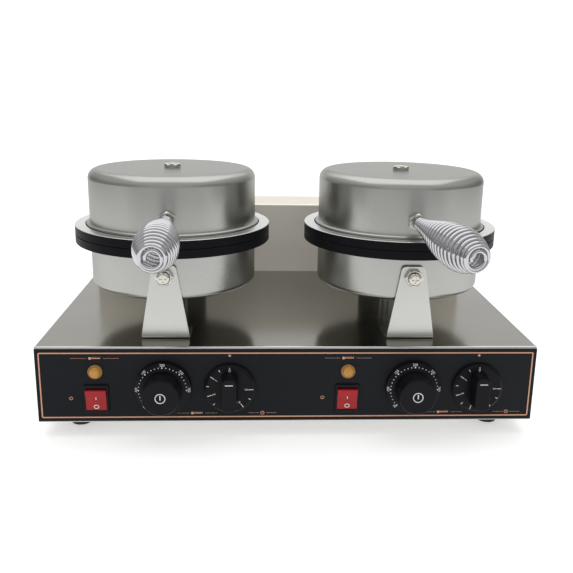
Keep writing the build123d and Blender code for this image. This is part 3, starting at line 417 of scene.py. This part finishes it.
def make_materials():
    """One material for each of the record's slots, and the extra ones for printing and turned faces."""
    return {
        "sheet_steel": brushed_steel("sheet_steel", (14, 1500, 1500), (0.52, 0.51, 0.48), 0.14, 0.18),
        # Painted light: the rear box's steel is far lighter than the other sheet steel, standing in for the
        # bright light its front catches.
        "box_steel_painted_bright": brushed_steel("box_steel_painted_bright", (14, 1500, 1500), (0.88, 0.84, 0.76), 0.46, 0.52, 0.7),
        "bracket_steel": brushed_steel("bracket_steel", (900, 900, 14), (0.54, 0.54, 0.52), 0.29, 0.32),
        "drawn_steel": satin_steel(),
        "panel_black": panel_paint(),
        "cast_black": cast_plate(),
        "turned_aluminium": turned_aluminium(),
        "chrome_wire": plated("chrome_wire", (0.52, 0.52, 0.54), 0.03, 0.07),
        "nickel_fastener": plated("nickel_fastener", (0.62, 0.60, 0.54), 0.16, 0.3),
        "element_steel": plated("element_steel", (0.30, 0.27, 0.24), 0.35, 0.55),
        "ceramic_fibre": ceramic_fibre(),
        "rubber_black": moulded("rubber_black", (0.018, 0.018, 0.019), 0.6, 0.8, 0.05 * MM),
        "knob_black": moulded("knob_black", (0.006, 0.006, 0.008), 0.28, 0.4, specular=0.12),
        "switch_black": moulded("switch_black", (0.006, 0.006, 0.008), 0.25, 0.36, specular=0.15),
        "rocker_red": moulded("rocker_red", (0.36, 0.010, 0.015), 0.2, 0.3, 0.01 * MM, specular=0.3),
        "gland_black": moulded("gland_black", (0.016, 0.016, 0.017), 0.4, 0.55),
        "ceramic_white": moulded("ceramic_white", (0.74, 0.73, 0.70), 0.2, 0.35, 0.01 * MM),
        "copper": plated("copper", (0.72, 0.38, 0.24), 0.25, 0.4),
        "bezel_amber": moulded("bezel_amber", (0.30, 0.15, 0.04), 0.2, 0.32, 0.01 * MM),
        "lens_amber": lens_plastic(),
        "control_body": moulded("control_body", (0.30, 0.28, 0.25), 0.45, 0.6),
        "white_ink": ink("white_ink", (0.78, 0.78, 0.76)),
        "copper_ink": ink("copper_ink", (0.72, 0.36, 0.22)),
    }


# ---------------------------------------------------------------- mesh helpers

def add_piece(name, mesh, body, slot, material, *replaced):
    """Puts a mesh in the scene as one piece that rides on a CAD body."""
    data = bpy.data.meshes.new(name)
    bmesh.ops.recalc_face_normals(mesh, faces=mesh.faces)
    mesh.to_mesh(data)
    mesh.free()
    obj = bpy.data.objects.new(name, data)
    bpy.context.scene.collection.objects.link(obj)
    data.materials.append(material)
    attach(obj, body)
    if replaced:
        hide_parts(*replaced)
    return obj


def smooth(obj, sharp_angle):
    """Smooth shading with sharp edges kept where two faces meet at more than the angle."""
    obj.data.shade_smooth()
    obj.data.set_sharp_from_angle(angle=math.radians(sharp_angle))


def bridge(mesh, first, second):
    """Quads between two closed, equally long rows of vertices."""
    count = len(first)
    for index in range(count):
        after = (index + 1) % count
        mesh.faces.new((first[index], first[after], second[after], second[index]))


def circle(radius, count, centre=(0.0, 0.0)):
    """Points round a circle in a plane."""
    turns = [2 * math.pi * index / count for index in range(count)]
    return [(centre[0] + radius * math.cos(turn), centre[1] + radius * math.sin(turn)) for turn in turns]


def tube(points, radius, sides):
    """A wire of round section along a line of points, cut square at both ends."""
    mesh = bmesh.new()
    normal = (points[1] - points[0]).orthogonal().normalized()
    rows = []
    for index, point in enumerate(points):
        ahead = points[min(index + 1, len(points) - 1)] - points[max(index - 1, 0)]
        tangent = ahead.normalized()
        normal = (normal - tangent * normal.dot(tangent)).normalized()
        across = tangent.cross(normal)
        rows.append([mesh.verts.new(point + normal * x + across * y) for x, y in circle(radius, sides)])
    for first, second in zip(rows, rows[1:]):
        bridge(mesh, first, second)
    mesh.faces.new(rows[0])
    mesh.faces.new(rows[-1])
    return mesh


# ---------------------------------------------------------------- printing

def flat_surface(place):
    """Maps ink onto a plane: X right, Y up and the lift out of the plane."""
    return lambda x, y, lift: place @ Vector((x, y, lift))


def add_patch(mesh, surface, outline):
    """A filled outline of ink."""
    low = [mesh.verts.new(surface(x, y, -INK)) for x, y in outline]
    high = [mesh.verts.new(surface(x, y, INK)) for x, y in outline]
    bridge(mesh, low, high)
    mesh.faces.new(high)
    mesh.faces.new(low)


def add_line(mesh, surface, points, width, closed=False):
    """A stroke of ink of even width along a line of points, with its corners mitred."""
    count = len(points)
    rows = []
    for index, point in enumerate(points):
        before = points[index - 1] if closed or index else point
        after = points[(index + 1) % count] if closed or index < count - 1 else point
        here = Vector(point)
        to_here = (here - Vector(before)).normalized()
        from_here = (Vector(after) - here).normalized()
        into = to_here if before != point else from_here
        out = from_here if after != point else into
        across = Vector((-into.y - out.y, into.x + out.x)).normalized()
        reach = width / 2 / max(0.4, across.dot(Vector((-into.y, into.x))))
        corners = [here + across * reach, here - across * reach]
        rows.append([mesh.verts.new(surface(*corner, lift)) for lift, corner in
                     ((-INK, corners[0]), (INK, corners[0]), (INK, corners[1]), (-INK, corners[1]))])
    for index in range(count if closed else count - 1):
        bridge(mesh, rows[index], rows[(index + 1) % count])
    if not closed:
        mesh.faces.new(rows[0])
        mesh.faces.new(rows[-1])


def add_text(mesh, surface, text, height, place):
    """Figures of a given height, whose own origin and turn on the surface are a 2-D place matrix."""
    curve = bpy.data.curves.new("figures", "FONT")
    curve.body = text
    curve.align_x = "CENTER"
    curve.align_y = "CENTER"
    curve.size = height / FIGURE_SHARE
    curve.extrude = INK
    curve.resolution_u = 3
    writing = bpy.data.objects.new("figures", curve)
    bpy.context.scene.collection.objects.link(writing)
    bpy.context.view_layer.update()
    data = bpy.data.meshes.new_from_object(writing.evaluated_get(bpy.context.evaluated_depsgraph_get()))
    earlier = set(mesh.verts)
    mesh.from_mesh(data)
    added = [vertex for vertex in mesh.verts if vertex not in earlier]
    for vertex in added:
        spot = place @ Vector((vertex.co.x, vertex.co.y, 0.0))
        vertex.co = surface(spot.x, spot.y, vertex.co.z)
    bmesh.ops.remove_doubles(mesh, verts=added, dist=1e-6)
    bpy.data.objects.remove(writing)
    bpy.data.meshes.remove(data)
    bpy.data.curves.remove(curve)


def polar(radius, angle):
    """A point by its radius and its angle in degrees, anticlockwise from the top."""
    turn = math.radians(90 + angle)
    return radius * math.cos(turn), radius * math.sin(turn)


def upright_at(radius, angle):
    """A 2-D place on a knob whose up points away from the knob's middle."""
    return Matrix.Rotation(math.radians(angle), 4, "Z") @ Matrix.Translation((0.0, radius, 0.0))


# ---------------------------------------------------------------- coil handles

def coil_radius(along):
    """Outer radius of the coil at a fraction of its length."""
    if along <= COIL_LARGEST_AT:
        swell = math.sin(math.pi / 2 * along / COIL_LARGEST_AT) ** COIL_SWELL_POWER
        return COIL_START_RADIUS + (COIL_LARGEST_RADIUS - COIL_START_RADIUS) * swell
    closing = (along - COIL_LARGEST_AT) / (1 - COIL_LARGEST_AT)
    shrink = 1 - math.cos(math.pi / 2 * closing)
    return COIL_LARGEST_RADIUS - (COIL_LARGEST_RADIUS - COIL_END_RADIUS) * shrink


def coil_turns():
    """Where each turn's wire lies along the coil: close together by the nut, more open in the bulb."""
    places = [WIRE_RADIUS]
    while places[-1] < COIL_LENGTH - WIRE_RADIUS - COIL_CLOSE_PITCH:
        along = min(1.0, places[-1] / COIL_LENGTH * COIL_OPEN_REACH)
        openness = math.sin(math.pi * along) ** COIL_OPEN_POWER
        places.append(places[-1] + COIL_CLOSE_PITCH + (COIL_OPEN_PITCH - COIL_CLOSE_PITCH) * openness)
    stretch = (COIL_LENGTH - 2 * WIRE_RADIUS) / (places[-1] - places[0])
    return [places[0] + (place - places[0]) * stretch for place in places]


def coil_place(side):
    """The coil's own frame: its Z runs along the coil from the bend in the stud."""
    cover_low, cover_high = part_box(f"{side}_cover")
    centre = (cover_low + cover_high) / 2
    seat = math.radians(HANDLE_SEAT_ANGLE[side])
    start = Vector((centre.x + HANDLE_BEND * math.sin(seat), centre.y - HANDLE_BEND * math.cos(seat),
                    BASE_HIGH.z + HANDLE_HEIGHT))
    turned = math.radians(HANDLE_BEARING[side])
    tipped = math.radians(HANDLE_DROOP)
    level = math.cos(tipped)
    along = Vector((math.sin(turned) * level, -math.cos(turned) * level, -math.sin(tipped)))
    return Matrix.Translation(start) @ along.to_track_quat("Z", "X").to_matrix().to_4x4()


def coil_line():
    """The middle of the wire in the coil's own frame: the turns, then a flat spiral that closes the end."""
    turns = coil_turns()
    line = []
    for near, far in zip(turns, turns[1:]):
        for step in range(COIL_STEPS):
            z = near + (far - near) * step / COIL_STEPS
            line.append((coil_radius(z / COIL_LENGTH) - WIRE_RADIUS, step / COIL_STEPS, z))
    last = coil_radius(turns[-1] / COIL_LENGTH) - WIRE_RADIUS
    for step in range(round(COIL_STEPS * COIL_END_TURNS) + 1):
        turn = step / COIL_STEPS
        line.append((last - COIL_END_PITCH * max(0.0, turn - 1), turn, turns[-1]))
    return [Vector((reach * math.cos(2 * math.pi * turn), reach * math.sin(2 * math.pi * turn),
                    z + COIL_START_GAP)) for reach, turn, z in line]


def coil_handle(side, material):
    """One coil of chromed wire, wound from the stud out to the closed end."""
    place = coil_place(side)
    wire = tube([place @ point for point in coil_line()], WIRE_RADIUS, WIRE_SIDES)
    obj = add_piece(f"{side}_coil_wire", wire, f"{side}_lid", "chrome_wire", material, f"{side}_handle")
    smooth(obj, 60.0)


# ---------------------------------------------------------------- baking faces

def waffle_pads(centre, floor, direction):
    """Square tapered pads in a grid over a round recess; direction is +1 when they stand upwards."""
    mesh = bmesh.new()
    reach = int(RECESS_RADIUS / WAFFLE_PITCH) + 1
    limit = RECESS_RADIUS - PAD_MARGIN
    diagonal = Matrix.Rotation(math.radians(45), 2)
    for column in range(-reach, reach + 1):
        for row in range(-reach, reach + 1):
            middle = diagonal @ Vector((column * WAFFLE_PITCH, row * WAFFLE_PITCH))
            if middle.length + PAD_FOOT / 2 > limit:
                continue
            rows = []
            for size, height in ((PAD_FOOT, -PAD_SUNK), (PAD_TOP, PAD_HEIGHT)):
                corners = [diagonal @ Vector((x * size / 2, y * size / 2)) for x, y in
                           ((-1, -1), (1, -1), (1, 1), (-1, 1))]
                rows.append([mesh.verts.new((centre.x + middle.x + c.x, centre.y + middle.y + c.y,
                                             floor + direction * height)) for c in corners])
            bridge(mesh, *rows)
            mesh.faces.new(rows[0])
            mesh.faces.new(rows[1])
    return mesh


def baking_faces(side, material):
    """The waffle pattern of the lower and the upper plate, each in its shallow recess."""
    cover_low, cover_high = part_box(f"{side}_cover")
    centre = (cover_low + cover_high) / 2
    hinge_z = cover_low.z - HALF_PLATES
    depth = PARTING_GAP / 2 + RECESS_DEPTH
    for plate, body, direction in (("lower", "base", 1), ("upper", f"{side}_lid", -1)):
        pads = waffle_pads(centre, hinge_z - direction * depth, direction)
        add_piece(f"{side}_{plate}_waffle_face", pads, body, "cast_black", material)


def turned_rim(side, material):
    """The bright machined ring on top of the upper plate, a thin skin that ends below its round edge."""
    cover_low, cover_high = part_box(f"{side}_cover")
    centre = (cover_low + cover_high) / 2
    top = cover_low.z
    turn_in = RIM_OUTER - RIM_EDGE
    rows = []
    for skin in (RIM_SKIN, -RIM_SKIN):
        section = [(RIM_INNER, top + skin)]
        for angle in RIM_EDGE_ANGLES:
            reach = RIM_EDGE + skin
            section.append((turn_in + reach * math.cos(math.radians(angle)),
                            top - RIM_EDGE + reach * math.sin(math.radians(angle))))
        rows += section if skin > 0 else reversed(section)
    mesh = bmesh.new()
    loops = [[mesh.verts.new((centre.x + x, centre.y + y, z)) for x, y in circle(radius, RIM_SIDES)]
             for radius, z in rows]
    for first, second in zip(loops, loops[1:] + loops[:1]):
        bridge(mesh, first, second)
    obj = add_piece(f"{side}_turned_rim", mesh, f"{side}_lid", "drawn_steel", material)
    smooth(obj, 40.0)


# ---------------------------------------------------------------- marks on the controls

def control_place(node):
    """A control's own frame on the panel: X right, Y up and Z out of the panel face."""
    low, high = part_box(node)
    middle = (low + high) / 2
    return Matrix.Translation((middle.x, PANEL_FACE_Y, middle.z)) @ Matrix.Rotation(math.pi / 2, 4, "X")


def skirt_height(radius):
    """How far the dial's face stands out of the panel at a radius on its sloping skirt."""
    share = (DIAL_RADIUS - radius) / (DIAL_RADIUS - DIAL_SKIRT_INNER)
    return DIAL_SKIRT_EDGE + DIAL_SKIRT_RISE * min(1.0, max(0.0, share))


def dial_surface(place):
    """Maps ink onto the dial's sloping skirt, as flat_surface does onto a plane."""
    return lambda x, y, lift: place @ Vector((x, y, skirt_height(math.hypot(x, y)) + lift))


def dial_marks(side, material):
    """Temperatures and dots round the skirt, and a ring with an index line on the cap."""
    mesh = bmesh.new()
    place = control_place(f"{side}_dial")
    skirt = dial_surface(place)
    for index, figure in enumerate(DIAL_FIGURES):
        angle = DIAL_FIRST_ANGLE - index * DIAL_FIGURE_STEP
        add_text(mesh, skirt, figure, DIAL_FIGURE_HEIGHT, upright_at(DIAL_FIGURE_RADIUS, angle))
    steps = (len(DIAL_FIGURES) - 1) * DOTS_PER_FIGURE
    for index in range(steps + 1):
        angle = DIAL_FIRST_ANGLE - index * DIAL_FIGURE_STEP / DOTS_PER_FIGURE
        size = DIAL_DOT_LARGE if index % DOTS_PER_FIGURE == 0 else DIAL_DOT_SMALL
        add_patch(mesh, skirt, circle(size, DOT_SIDES, polar(DIAL_DOT_RADIUS, angle)))
    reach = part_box(f"{side}_dial")[0].y
    cap = flat_surface(place @ Matrix.Translation((0.0, 0.0, PANEL_FACE_Y - reach)))
    add_line(mesh, cap, circle(CAP_RING_RADIUS, CAP_RING_SIDES), CAP_RING_WIDTH, closed=True)
    add_line(mesh, cap, [(0.0, CAP_INDEX_LOW), (0.0, CAP_INDEX_HIGH)], CAP_INDEX_WIDTH)
    add_piece(f"{side}_dial_marks", mesh, f"{side}_dial", "knob_black", material)


def timer_marks(side, material):
    """Minutes round the timer's skirt and a line on its grip."""
    mesh = bmesh.new()
    place = control_place(f"{side}_timer_knob")
    skirt = flat_surface(place @ Matrix.Translation((0.0, 0.0, TIMER_SKIRT_TOP)))
    for index in range(2 * len(TIMER_FIGURES) - 1):
        angle = index * TIMER_MARK_STEP
        long_mark = index % 2 == 0
        inner = TIMER_LONG_MARK if long_mark else TIMER_SHORT_MARK
        figure_radius = TIMER_FIGURE_RADIUS
        if index == 0:
            inner = TIMER_ZERO_MARK
            figure_radius = TIMER_ZERO_RADIUS
        add_line(mesh, skirt, [polar(inner, angle), polar(TIMER_MARK_OUTER, angle)], TIMER_MARK_WIDTH)
        if long_mark:
            spot = upright_at(figure_radius, angle)
            add_text(mesh, skirt, TIMER_FIGURES[index // 2], TIMER_FIGURE_HEIGHT, spot)
    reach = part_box(f"{side}_timer_knob")[0].y
    grip = flat_surface(place @ Matrix.Translation((0.0, 0.0, PANEL_FACE_Y - reach)))
    ends = [(-GRIP_LINE / 2, GRIP_LINE_HEIGHT), (GRIP_LINE / 2, GRIP_LINE_HEIGHT)]
    add_line(mesh, grip, ends, GRIP_LINE_WIDTH)
    add_piece(f"{side}_timer_marks", mesh, f"{side}_timer", "knob_black", material)


def rocker_surface(place):
    """Maps ink onto the tilted rocker, whose two halves rise from a valley in the middle."""
    pivot = Matrix.Translation((0.0, 0.0, -ROCKER_PIVOT_DEPTH))
    tipped = place @ pivot @ Matrix.Rotation(math.radians(ROCKER_TILT), 4, "X") @ pivot.inverted()
    slope = ROCKER_DISH / ROCKER_HALF_HEIGHT
    return lambda x, y, lift: tipped @ Vector((x, y, ROCKER_VALLEY + slope * abs(y) + lift))


def rocker_marks(side, material):
    """The on and off signs on the two halves of the rocker."""
    mesh = bmesh.new()
    face = rocker_surface(control_place(f"{side}_switch_frame"))
    add_line(mesh, face, [(0.0, ON_STROKE_LOW), (0.0, ON_STROKE_HIGH)], ON_STROKE_WIDTH)
    ring = [(x * OFF_RING_STRETCH, y - OFF_RING_DROP) for x, y in circle(OFF_RING_RADIUS, RING_SIDES)]
    add_line(mesh, face, ring, OFF_RING_WIDTH, closed=True)
    add_piece(f"{side}_rocker_marks", mesh, f"{side}_switch", "rocker_red", material)


# ---------------------------------------------------------------- printing on the panel

def rounded_rectangle(low, high, radius):
    """Corner-rounded outline between two opposite corners, anticlockwise."""
    points = []
    centres = ((high[0] - radius, high[1] - radius, 0), (low[0] + radius, high[1] - radius, 90),
               (low[0] + radius, low[1] + radius, 180), (high[0] - radius, low[1] + radius, 270))
    for x, y, start in centres:
        for step in range(CORNER_STEPS + 1):
            turn = math.radians(start + 90 * step / CORNER_STEPS)
            points.append((x + radius * math.cos(turn), y + radius * math.sin(turn)))
    return points


def thermometer(mesh, surface, x, y):
    """A thermometer lying on its side, with a scale of short lines."""
    add_patch(mesh, surface, circle(THERMOMETER_BULB, DISC_SIDES, (x - 5.0 * MM, y)))
    add_line(mesh, surface, [(x - 3.8 * MM, y), (x + 5.6 * MM, y)], BROAD_PEN)
    for tick in range(THERMOMETER_TICKS):
        spot = x - 2.4 * MM + tick * THERMOMETER_TICK_PITCH
        add_line(mesh, surface, [(spot, y + 0.8 * MM), (spot, y + 1.7 * MM)], FINE_PEN)


def clock(mesh, surface, x, y):
    """A round clock face with two hands."""
    add_line(mesh, surface, circle(CLOCK_RADIUS, CLOCK_SIDES, (x, y)), PEN, closed=True)
    add_line(mesh, surface, [(x, y + 1.2 * MM), (x, y), (x + 0.9 * MM, y)], FINE_PEN)


def power_sign(mesh, surface, x, y):
    """The usual ring, open at the top, with an upright stroke."""
    turns = [math.radians(angle) for angle in range(*POWER_ANGLES)]
    ring = [(x + POWER_RADIUS * math.cos(turn), y + POWER_RADIUS * math.sin(turn)) for turn in turns]
    add_line(mesh, surface, ring, PEN)
    add_line(mesh, surface, [(x, y + 0.3 * MM), (x, y + 2.1 * MM)], PEN)


def dotted_rule(mesh, surface, left, right, y):
    """A row of fine dots between two places."""
    count = max(1, round((right - left) / RULE_PITCH))
    for index in range(count + 1):
        spot = left + (right - left) * index / count
        add_patch(mesh, surface, circle(RULE_DOT, RULE_DOT_SIDES, (spot, y)))


def rules_beside(mesh, surface, x, y, gap, end):
    """A dotted rule on each side of a sign."""
    dotted_rule(mesh, surface, x - end, x - gap, y)
    dotted_rule(mesh, surface, x + gap, x + end, y)


def middle_x(node):
    """The middle of a node's box across the panel."""
    low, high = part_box(node)
    return (low.x + high.x) / 2


def panel_printing(material):
    """The border line, the dot over each timer and a small sign beside each control."""
    mesh = bmesh.new()
    place = Matrix.Translation((0.0, PANEL_FACE_Y, BASE_LOW.z)) @ Matrix.Rotation(math.pi / 2, 4, "X")
    surface = flat_surface(place)
    low = (-BORDER_HALF_WIDTH, BORDER_BOTTOM)
    high = (BORDER_HALF_WIDTH, BORDER_TOP)
    border = rounded_rectangle(low, high, BORDER_CORNER)
    add_line(mesh, surface, border, BORDER_LINE, closed=True)
    for side in SIDES:
        lamp_x = middle_x(f"{side}_switch_frame")
        timer_x = middle_x(f"{side}_timer_knob")
        low_sign_x = (middle_x(f"{side}_dial") + timer_x) / 2
        clock_x = timer_x + CLOCK_OFFSET
        add_patch(mesh, surface, circle(TIMER_DOT_RADIUS, DISC_SIDES, (timer_x, TIMER_DOT_HEIGHT)))
        thermometer(mesh, surface, lamp_x, LAMP_SIGN_HEIGHT)
        rules_beside(mesh, surface, lamp_x, LAMP_SIGN_HEIGHT, THERMOMETER_GAP, LAMP_RULE_END)
        power_sign(mesh, surface, lamp_x - POWER_SIGN_OFFSET, SWITCH_SIGN_HEIGHT)
        thermometer(mesh, surface, low_sign_x, LOW_SIGN_HEIGHT)
        rules_beside(mesh, surface, low_sign_x, LOW_SIGN_HEIGHT, THERMOMETER_GAP, DIAL_RULE_END)
        clock(mesh, surface, clock_x, LOW_SIGN_HEIGHT)
        rules_beside(mesh, surface, clock_x, LOW_SIGN_HEIGHT, CLOCK_GAP, CLOCK_RULE_END)
    add_piece("panel_printing", mesh, "base", "panel_black", material)


# ---------------------------------------------------------------- dress the CAD nodes

NODE_MATERIALS = {
    "base_casing": "sheet_steel", "bottom_cover": "sheet_steel", "rear_box": "box_steel_painted_bright",
    "rear_panel": "sheet_steel", "front_brackets": "bracket_steel", "rear_brackets": "bracket_steel",
    "control_panel": "panel_black", "casing_screws": "nickel_fastener", "foot_screws": "nickel_fastener",
    "rubber_feet": "rubber_black", "mains_gland": "gland_black", "terminal_block": "ceramic_white",
    "bracket_screws": "nickel_fastener", "bracket_nuts": "nickel_fastener",
    "bracket_base_screws": "nickel_fastener", "hinge_pins": "nickel_fastener",
    "lower_elements": "element_steel", "lower_insulation": "ceramic_fibre", "sensor_bulbs": "copper",
    "lower_studs": "nickel_fastener", "lower_stud_nuts": "nickel_fastener", "lead_tubes": "drawn_steel",
    "lead_grommets": "rubber_black", "lamp_bezels": "bezel_amber", "lamp_lenses": "lens_amber",
    "thermostats": "control_body", "timers": "control_body",
    "lower_pan": "drawn_steel", "lower_plate": "cast_black", "upper_plate": "cast_black",
    "cover": "drawn_steel", "upper_element": "element_steel", "upper_insulation": "ceramic_fibre",
    "lid_studs": "nickel_fastener", "lid_nuts": "nickel_fastener", "handle": "chrome_wire",
    "cover_grommet": "rubber_black", "switch_frame": "switch_black", "rocker": "rocker_red",
    "dial": "knob_black", "dial_shaft": "nickel_fastener", "timer_knob": "knob_black",
    "timer_shaft": "nickel_fastener",
}


def dress_nodes(materials):
    """Gives every CAD node its material; left and right nodes share one entry."""
    for name, obj in NODES.items():
        plain = name.split("_", 1)[1] if name.split("_")[0] in SIDES else name
        material = materials[NODE_MATERIALS[plain]]
        obj.data.materials.clear()
        obj.data.materials.append(material)


# ---------------------------------------------------------------- stage

def make_floor():
    """A plain white floor that also glows a little, so that it stays white in the object's shade."""
    mesh = bmesh.new()
    outline = (FLOOR_LOW, (FLOOR_HIGH[0], FLOOR_LOW[1]), FLOOR_HIGH, (FLOOR_LOW[0], FLOOR_HIGH[1]))
    mesh.faces.new([mesh.verts.new((x, y, 0.0)) for x, y in outline])
    data = bpy.data.meshes.new("floor")
    mesh.to_mesh(data)
    mesh.free()
    floor = bpy.data.objects.new("floor", data)
    bpy.context.scene.collection.objects.link(floor)
    finish = Finish("floor_white", (FLOOR_PAINT, FLOOR_PAINT, FLOOR_PAINT), roughness=0.9)
    finish.set("Specular IOR Level", 0.0)
    finish.set("Emission Color", (1.0, 1.0, 1.0, 1.0))
    finish.set("Emission Strength", FLOOR_GLOW)
    data.materials.append(finish.material)


def blend(tree, source, span, first, second):
    """A value that goes from the first to the second as the source crosses the span."""
    share = tree.nodes.new("ShaderNodeMapRange")
    share.inputs["From Min"].default_value = span[0]
    share.inputs["From Max"].default_value = span[1]
    tree.links.new(source, share.inputs["Value"])
    mix = tree.nodes.new("ShaderNodeMix")
    tree.links.new(share.outputs["Result"], mix.inputs["Factor"])
    for socket, value in (("A", first), ("B", second)):
        if isinstance(value, float):
            mix.inputs[socket].default_value = value
        else:
            tree.links.new(value, mix.inputs[socket])
    return mix.outputs["Result"]


def make_world():
    """A white studio all round, dimmer on the camera's side and at both sides."""
    world = bpy.data.worlds.new("studio")
    bpy.context.scene.world = world
    world.use_nodes = True
    tree = world.node_tree
    background = tree.nodes["Background"]
    background.inputs["Color"].default_value = (1.0, 1.0, 1.0, 1.0)
    coordinates = tree.nodes.new("ShaderNodeTexCoord")
    parts = tree.nodes.new("ShaderNodeSeparateXYZ")
    tree.links.new(coordinates.outputs["Generated"], parts.inputs["Vector"])
    sideways = tree.nodes.new("ShaderNodeMath")
    sideways.operation = "ABSOLUTE"
    tree.links.new(parts.outputs["X"], sideways.inputs[0])
    level = blend(tree, parts.outputs["Y"], FRONT_TO_REAR, WORLD_FRONT, WORLD_REAR)
    level = blend(tree, sideways.outputs["Value"], MIDDLE_TO_SIDE, level, WORLD_BESIDE)
    level = blend(tree, parts.outputs["Z"], HORIZON_TO_ABOVE, level, WORLD_ABOVE)
    tree.links.new(level, background.inputs["Strength"])


def add_softbox(name, place, target, size, power):
    """A rectangular lamp that faces a point."""
    light = bpy.data.lights.new(name, "AREA")
    light.shape = "RECTANGLE"
    light.size, light.size_y = size
    light.energy = power
    obj = bpy.data.objects.new(name, light)
    bpy.context.scene.collection.objects.link(obj)
    obj.location = place
    obj.rotation_euler = (Vector(target) - Vector(place)).to_track_quat("-Z", "Y").to_euler()


def make_camera():
    """The camera, in front of the panel and a little to the left, looking down on the heads."""
    camera = bpy.data.cameras.new("camera")
    camera.lens = CAMERA_LENS
    camera.sensor_width = CAMERA_SENSOR
    camera.shift_x, camera.shift_y = CAMERA_SHIFT
    camera.clip_start = 0.02
    camera.clip_end = 200.0
    obj = bpy.data.objects.new("camera", camera)
    bpy.context.scene.collection.objects.link(obj)
    bearing = Matrix.Rotation(CAMERA_BEARING, 4, "Z")
    tilt = Matrix.Rotation(math.pi / 2 - CAMERA_DOWN, 4, "X")
    roll = Matrix.Rotation(CAMERA_ROLL, 4, "Z")
    place = Matrix.Translation((CAMERA_X, PANEL_FACE_Y - CAMERA_BEFORE_PANEL, CAMERA_Z))
    obj.matrix_world = place @ bearing @ tilt @ roll
    bpy.context.scene.camera = obj


MATERIALS = make_materials()
dress_nodes(MATERIALS)
for side_name in SIDES:
    coil_handle(side_name, MATERIALS["chrome_wire"])
    baking_faces(side_name, MATERIALS["cast_black"])
    turned_rim(side_name, MATERIALS["turned_aluminium"])
    dial_marks(side_name, MATERIALS["white_ink"])
    timer_marks(side_name, MATERIALS["white_ink"])
    rocker_marks(side_name, MATERIALS["white_ink"])
panel_printing(MATERIALS["copper_ink"])
make_floor()
make_world()
for softbox in SOFTBOXES:
    add_softbox(*softbox)
make_camera()
bpy.context.scene.view_settings.view_transform = "Standard"
